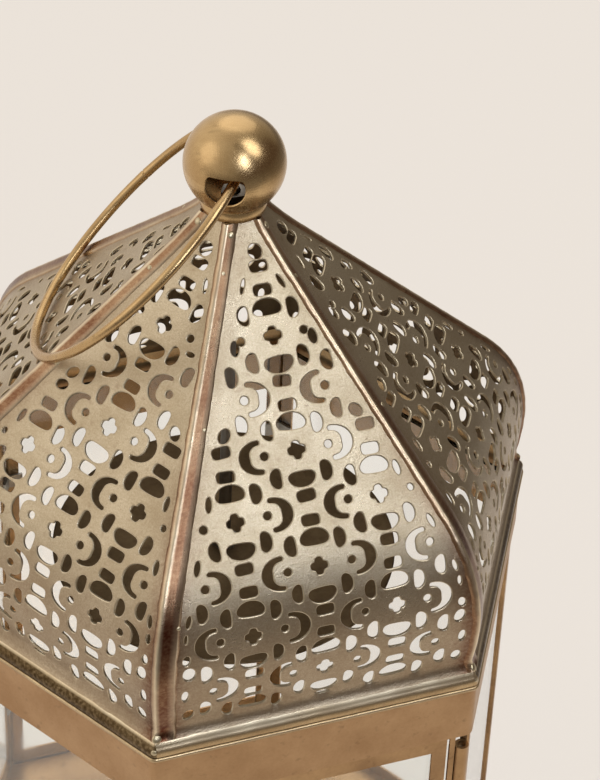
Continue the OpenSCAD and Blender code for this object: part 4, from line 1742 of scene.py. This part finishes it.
@dataclass(frozen=True)
class Finial:
    """Hollow ball in its collar, with the carrying ring through its side holes.

    Attributes:
        radius: Outer radius of the ball.
        wall: Thickness of its wall.
        hole_r: Radius of the side holes.
        hole_flat: Height of their flat top above the ball's centre.
        collar_r: Radius of the collar.
        collar_z: Foot of the collar.
        collar_top: Top of the collar.
        wire_r: Radius of the ring's wire.
        ring_r: Radius of the ring, at the middle of its wire.
        ring_past: How far the wire runs past the pivot.
        ring_rest: Rest angle of the ring below the horizontal.
    """

    radius: float = 15.0
    wall: float = 1.2
    hole_r: float = 6.0
    hole_flat: float = 3.6
    collar_r: float = 9.7
    collar_z: float = 319.065
    collar_top: float = 322.618
    wire_r: float = 1.5
    ring_r: float = 45.4
    ring_past: float = 4.4
    ring_rest: float = math.radians(47.947)

    def build(self, materials: Materials) -> None:
        """Makes and dresses the ball, the collar and the ring.

        Args:
            materials: The lantern's materials.
        """
        for shell, name, node, body in (
            (self._ball(), "hollow_finial_ball", "finial_ball", "root"),
            (self._collar(), "turned_neck_collar", "neck_collar", "root"),
            (self._ring(), "bent_carrying_ring", "carrying_ring", "ring"),
        ):
            piece = shell.build(name, sharp=55)
            put(piece, [materials["turned"]], body, "polished_brass", node)

    def _ball(self) -> Shell:
        """The ball, carried from the rim of one side hole round to the other and back inside.

        At angle u about the holes' axis the hole's edge has radius r(u): the hole's radius, cut
        down to flat/sin u where the flat top is nearer, softened by a power mean. The outer wall
        runs over the polar angles from asin(r/R) to 180 degrees less that.

        Returns:
            The ball's surface.
        """
        u = np.arange(96) / 96 * 2 * np.pi
        up = np.maximum(np.sin(u), 1e-3)
        flat = np.where(np.sin(u) > 0.05, self.hole_flat / up, 1e3)
        r = (self.hole_r**-14.0 + flat**-14.0) ** (-1 / 14)
        share = (1 - np.cos(np.linspace(0, np.pi, 44))) / 2
        inner_r, rim_r = self.radius - self.wall, self.radius - 0.35

        def wall(radius: float, order: int) -> np.ndarray:
            """Polar angles over a wall, from one hole's edge to the other's or back."""
            start = np.arcsin(r / radius)[:, None] + 0.012
            return start + (np.pi - 2 * start) * share[None, ::order]

        rim = np.arcsin(r / self.radius)[:, None]
        polar = np.hstack([wall(self.radius, 1), np.pi - rim, wall(inner_r, -1), rim])
        size = np.repeat([self.radius, rim_r, inner_r, rim_r], [len(share), 1, len(share), 1])
        across = size * np.sin(polar)
        x, y, z = size * np.cos(polar), across * np.cos(u)[:, None], across * np.sin(u)[:, None]
        shell = Shell()
        grid = turned(np.stack([x, y, z], -1), RING_AZIMUTH - math.pi / 2) + [0, 0, BALL_Z]
        shell.grid(grid, round_rows=True, round_columns=True)
        return shell

    def _collar(self) -> Shell:
        """Short turned cup under the ball, with a spigot into the dome's neck.

        Returns:
            The collar's surface.
        """
        r, low, high = self.collar_r, self.collar_z, self.collar_top
        seat = np.linspace(0.68, 0.2, 8)
        near = self.radius + 0.05
        bowl = [(near * math.sin(a), BALL_Z - near * math.cos(a)) for a in seat]
        outline = [
            (2.2, low - 5.0),
            (6.9, low - 5.0),
            (7.1, low - 4.7),
            (7.1, low),
            (r - 0.3, low),
            (r, low + 0.35),
            (r + 0.02, (low + high) / 2),
            (r, high - 0.3),
            (r - 0.15, high),
            *bowl,
            (2.2, bowl[-1][1]),
        ]
        shell = Shell()
        shell.grid(lathe(np.array(outline), 72), round_rows=True, round_columns=True)
        return shell

    def _ring(self) -> Shell:
        """The ring: a circle of wire, slightly uneven, with the butt joint of its two ends.

        At angle a round the ring and b round the wire the point is (R + w cos b)(cos a, sin a) and
        w sin b, where w is the wire's radius, pinched at the joint.

        Returns:
            The ring's surface.
        """
        joint = math.radians(-74)
        even = np.linspace(0, 2 * np.pi, 220, endpoint=False)
        a = np.sort(np.concatenate([even, joint % (2 * np.pi) + np.linspace(-0.02, 0.02, 9)]))
        away = self.ring_r * np.abs((a - joint + np.pi) % (2 * np.pi) - np.pi)
        pinch, swell = 0.16 * np.exp(-((away / 0.22) ** 2)), 0.03 * np.exp(-((away / 2.0) ** 2))
        wire = self.wire_r * (1 - pinch + swell)
        b = np.arange(22) / 22 * 2 * np.pi
        reach = self.ring_r + wire[:, None] * np.cos(b)
        centre = self.ring_r - self.ring_past
        x = centre + reach * np.cos(a)[:, None]
        y = reach * np.sin(a)[:, None]
        z = wire[:, None] * np.sin(b)
        local = np.stack([x, y, z], -1)
        tilt = np.array(Matrix.Rotation(self.ring_rest, 3, "Y"))
        grid = turned(local @ tilt.T, RING_AZIMUTH) + [0, 0, PIVOT_Z]
        shell = Shell()
        shell.grid(grid, round_rows=True, round_columns=True)
        return shell


@dataclass(frozen=True)
class RodAndShield:
    """Tie rod through the dome, its nuts and the heat shield.

    Attributes:
        rod: Lower and upper end of the rod.
        rod_r: Radius of the rod.
        thread: Pitch of its thread.
        shield_z: Lower face of the shield.
        shield_r: Radius of the shield.
    """

    rod: tuple[float, float] = (180.3, 325.167)
    rod_r: float = 2.0
    thread: float = 0.7
    shield_z: float = 185.5
    shield_r: float = 54.0

    def build(self, materials: Materials) -> None:
        """Makes and dresses the threaded rod and the pressed shield.

        Args:
            materials: The lantern's materials.
        """
        low, high = self.rod
        run = np.arange(0, high - low - 1.0, self.thread / 2)
        wave = self.rod_r - 0.16 * (np.arange(len(run)) % 2)
        outline = [(0, low), (self.rod_r - 0.5, low), *zip(wave, low + 0.5 + run)]
        outline += [(self.rod_r - 0.5, high), (0, high)]
        shell = Shell()
        shell.grid(lathe(np.array(outline), 20), round_rows=True)
        piece = shell.build("threaded_tie_rod", sharp=80)
        put(piece, [materials["steel"]], "root", "steel", "tie_rod")
        z, r = self.shield_z, self.shield_r
        disc = [(2.1, z), (r - 0.4, z), (r, z + 0.3), (r, z + 0.7), (r - 0.4, z + 1.0), (2.1, z + 1.0)]
        rings = [(x, z + 1.0 - 0.12 * (i % 2)) for i, x in enumerate(np.linspace(r - 4, r - 8, 5))]
        outline = disc[:5] + rings + disc[5:]
        shell = Shell()
        shell.grid(lathe(np.array(outline), 96), round_rows=True, round_columns=True)
        piece = shell.build("spun_heat_shield", sharp=30)
        put(piece, [materials["inner"]], "root", "dull_brass", "heat_shield")


# ---------------------------------------------------------------- door's small parts


@dataclass(frozen=True)
class DoorKnob:
    """Turned knob on the latch side of the door.

    Attributes:
        at: Foot of the knob, on the door's face.
        radius: Radius of the knob.
    """

    at: tuple[float, float, float] = (-40.6662, -86.8846, 96.0)
    radius: float = 3.2

    def build(self, materials: Materials) -> None:
        """Makes and dresses the knob, smooth through the points of its outline.

        Args:
            materials: The lantern's materials.
        """
        corners = np.array(
            [[0.34, -0.8], [0.34, 0], [1, 0.05], [1, 0.55], [0.52, 1.1], [0.5, 1.8], [0.86, 2.5]]
            + [[1, 3.4], [0.86, 4.3], [0.5, 4.85], [0, 5]]
        )
        run = np.linspace(0, 1, len(corners))
        fine = np.linspace(0, 1, 41)
        outline = np.stack([np.interp(fine, run, corners[:, i]) for i in (0, 1)], 1)
        soft = outline.copy()
        soft[1:-1] = (outline[:-2] + 2 * outline[1:-1] + outline[2:]) / 4
        soft[:, 0] *= self.radius
        soft = np.vstack([[0, soft[0, 1]], soft])
        shell = Shell()
        shell.grid(lathe(soft, 40, self.at, (0, -1, 0)), round_rows=True)
        piece = shell.build("turned_door_knob", sharp=60)
        put(piece, [materials["turned"]], "door", "polished_brass", "door_knob")


@dataclass(frozen=True)
class FeltPads:
    """Round pads under the foot.

    Attributes:
        radius: Radius of a pad.
        high: Its thickness.
        inset: How far the pads' centres lie behind the lip, as an apothem.
    """

    radius: float = 4.0
    high: float = 2.0
    inset: float = 4.2

    def build(self, materials: Materials) -> None:
        """Makes and dresses the six pads.

        Args:
            materials: The lantern's materials.
        """
        r, h = self.radius, self.high
        outline = np.array([(0, 0), (r - 0.3, 0), (r, 0.35), (r, h - 0.3), (r - 0.25, h), (0, h)])
        shell = Shell()
        for k in range(SIDES):
            centre = turned(np.array([(LIP_A - self.inset) / math.cos(HALF), 0, 0]), 2 * HALF * k)
            shell.grid(lathe(outline, 28, tuple(centre)), round_rows=True)
        piece = shell.build("punched_felt_pads", sharp=60)
        put(piece, [materials["felt"]], "root", "felt", "felt_pads")


class KeptNodes:
    """CAD nodes whose shape is right, with the finish that each one gets."""

    FINISH: dict[str, tuple[str, ...]] = {
        "frame": (
            *(f"corner_post_{k}" for k in range(1, 7)),
            "door_frame",
            "door_stops",
            "door_hinge_barrel",
            "frame_hinge_barrels",
            "latch_button",
            "floor_plate",
        ),
        "steel": ("pane_clips", "door_glass_clips", "tie_rod_nuts", "hinge_pin", "latch_rivet"),
        "glass": (*(f"glass_pane_{k}" for k in range(1, 6)), "door_glass"),
    }

    def dress(self, nodes: dict[str, bpy.types.Object], materials: Materials) -> None:
        """Gives each kept node its finish.

        Args:
            nodes: The CAD nodes.
            materials: The lantern's materials.
        """
        for finish, names in self.FINISH.items():
            for name in names:
                for slot in nodes[name].material_slots:
                    slot.material = materials[finish]
                LOG.info("%s: kept, dressed as %s", name, finish)


# ---------------------------------------------------------------- studio


@dataclass(frozen=True)
class Studio:
    """Pale floor, soft lamps and the camera.

    Attributes:
        eye: Place of the camera, in millimetres.
        azimuth: Its direction, from the door's side.
        height: Its angle above the horizontal.
        roll: Its roll.
        lens: Focal length for a picture 36 mm high.
        floor: Colour of the floor.
        shown: Share of that colour which is shown as it is. The rest takes light and shadow.
        reflected_shade_ends: Axis and places, in metres, where reflections see the floor begin and end to
            darken, as painted shade.
        dimming: How far it darkens there.
        pale_way: Direction in which the walls are palest.
        walls: Places along that direction, from 0 to 1, with the walls' colours there.
    """

    eye: tuple[float, float, float] = (-249.8, -710.7, 877.8)
    azimuth: float = math.radians(-21.0168)
    height: float = math.radians(39.8043)
    roll: float = math.radians(2.678)
    lens: float = 149.38
    floor: Colour = shade("EEE6DD")
    shown: float = 0.80
    reflected_shade_ends: tuple[tuple[str, tuple[float, float]], ...] = (("Y", (-0.34, -0.58)), ("X", (0.35, 0.8)))
    dimming: float = 0.92
    pale_way: tuple[float, float, float] = (-0.75, 0.65, 0.1)
    walls: tuple[tuple[float, tuple[float, float, float]], ...] = (
        (0.0, (0.11, 0.08, 0.062)),
        (0.15, (0.12, 0.09, 0.07)),
        (0.24, (0.26, 0.24, 0.205)),
        (0.68, (0.64, 0.61, 0.56)),
        (1.0, (0.90, 0.85, 0.78)),
    )

    def build(self) -> None:
        """Makes the floor, the world, the lamps and the camera."""
        self._camera()
        self._floor()
        self._world()
        self._lamps()
        bpy.context.scene.view_settings.view_transform = "Standard"

    def _camera(self) -> None:
        """Camera turned by its azimuth, height and roll."""
        az, el, roll = self.azimuth, self.height, self.roll
        back = Vector((math.sin(az) * math.cos(el), -math.cos(az) * math.cos(el), math.sin(el)))
        right = Vector((math.cos(az), math.sin(az), 0.0))
        up = back.cross(right)
        across = right * math.cos(roll) + up * math.sin(roll)
        above = up * math.cos(roll) - right * math.sin(roll)
        turn = Matrix((across, above, back)).transposed().to_4x4()
        data = bpy.data.cameras.new("studio_camera")
        data.sensor_fit = "VERTICAL"
        data.sensor_height = 36.0
        data.lens = self.lens
        data.clip_start, data.clip_end = 0.05, 60.0
        camera = bpy.data.objects.new("studio_camera", data)
        camera.matrix_world = Matrix.Translation(Vector(self.eye) * MM) @ turn
        bpy.context.scene.collection.objects.link(camera)
        bpy.context.scene.camera = camera

    def _floor(self) -> None:
        """Wide floor that shows its own pale colour and keeps the lantern's shadow.

        Reflections see it darker far in front and far to the right: painted shade that only reflections
        show.
        """
        mesh = bpy.data.meshes.new("floor")
        r = 8.0
        mesh.from_pydata([(-r, -r, 0), (r, -r, 0), (r, r, 0), (-r, r, 0)], [], [(0, 1, 2, 3)])
        plane = bpy.data.objects.new("floor", mesh)
        bpy.context.scene.collection.objects.link(plane)
        material, wiring = new_material("Pale floor")
        matt = wiring.add(
            "BsdfPrincipled", {"Base Color": self.floor, "Roughness": 0.9, "Specular IOR Level": 0.1}
        )
        here = wiring.add("SeparateXYZ", {"Vector": wiring.add("TexCoord").outputs["Object"]}).outputs
        ends = [wiring.spread(here[axis], span) for axis, span in self.reflected_shade_ends]
        path = wiring.add("LightPath").outputs
        # Painted shade, seen only in reflections.
        mirrored = wiring.math("MULTIPLY", wiring.math("MAXIMUM", *ends), path["Is Glossy Ray"])
        bright = wiring.math("MULTIPLY_ADD", mirrored, -self.dimming, 1.0)
        glow = wiring.add("Emission", {"Color": self.floor, "Strength": bright})
        seen = wiring.math("MAXIMUM", path["Is Camera Ray"], path["Is Glossy Ray"])
        seen = wiring.math("MAXIMUM", seen, path["Is Transmission Ray"])
        share = wiring.math("MULTIPLY", seen, self.shown)
        both = {"Fac": share, 1: matt.outputs["BSDF"], 2: glow.outputs["Emission"]}
        wiring.finish(wiring.add("MixShader", both).outputs["Shader"])
        mesh.materials.append(material)

    def _world(self) -> None:
        """Studio walls, pale on the left and behind the lantern and dark in front of it.

        The camera and the glass see them in the floor's colour.
        """
        world = bpy.data.worlds.new("studio_walls")
        bpy.context.scene.world = world
        world.use_nodes = True
        world.node_tree.nodes.clear()
        wiring = Wiring(world.node_tree)
        ways = {0: wiring.add("TexCoord").outputs["Generated"], 1: self.pale_way}
        toward = wiring.add("VectorMath", ways, operation="DOT_PRODUCT").outputs["Value"]
        ramp = wiring.add("ValToRGB", {"Fac": wiring.spread(toward, (-0.85, 0.85))})
        stops = ramp.color_ramp.elements
        (_, darkest), *between, (_, palest) = self.walls
        stops[0].color, stops[1].color = (*darkest, 1.0), (*palest, 1.0)
        for place, colour in between:
            stops.new(place).color = (*colour, 1.0)
        path = wiring.add("LightPath").outputs
        seen = wiring.math("MAXIMUM", path["Is Camera Ray"], path["Is Transmission Ray"])
        shown = wiring.mix(seen, ramp.outputs["Color"], self.floor)
        walls = wiring.add("Background", {"Color": shown})
        wiring.add("OutputWorld", {"Surface": walls.outputs["Background"]})

    def _lamps(self) -> None:
        """Four soft lamps: in front, high on the right, on the left and high behind."""
        for name, at, size, power, colour in (
            ("front_lamp", (0.16, -1.6, 1.42), (0.6, 1.0), 11.0, (0.76, 0.85, 1.0)),
            ("key_lamp", (0.94, -0.80, 1.88), (0.9, 1.5), 11.0, (0.90, 0.95, 1.0)),
            ("left_lamp", (-2.2, 0.2, 1.5), (2.0, 2.0), 5.0, (1.0, 0.97, 0.93)),
            ("top_lamp", (0.8, 1.9, 2.6), (3.2, 3.2), 17.0, (1.0, 0.97, 0.93)),
        ):
            data = bpy.data.lights.new(name, "AREA")
            data.shape = "ELLIPSE"
            data.size, data.size_y = size
            data.energy = power
            data.color = colour
            lamp = bpy.data.objects.new(name, data)
            lamp.location = at
            aim = Vector((0, 0, 0.25)) - Vector(at)
            lamp.rotation_euler = aim.to_track_quat("-Z", "Y").to_euler()
            bpy.context.scene.collection.objects.link(lamp)


# ---------------------------------------------------------------- the lantern


def main() -> None:
    """Builds the studio and the lantern, sub-assembly by sub-assembly."""
    logging.basicConfig(level=logging.INFO, format="%(name)s: %(message)s")
    Studio().build()
    effects = EffectGroups()
    materials = {name: finish.make(effects) for name, finish in FINISHES.items()}
    surface = DomeSurface(DomeProfile())
    DomePanels().build(surface, materials)
    SeamCaps().build(surface, materials)
    Eave().build(surface, materials)
    Bands().build(materials)
    Finial().build(materials)
    RodAndShield().build(materials)
    DoorKnob().build(materials)
    FeltPads().build(materials)
    KeptNodes().dress(frame["nodes"], materials)


if __name__ == "__main__":
    main()
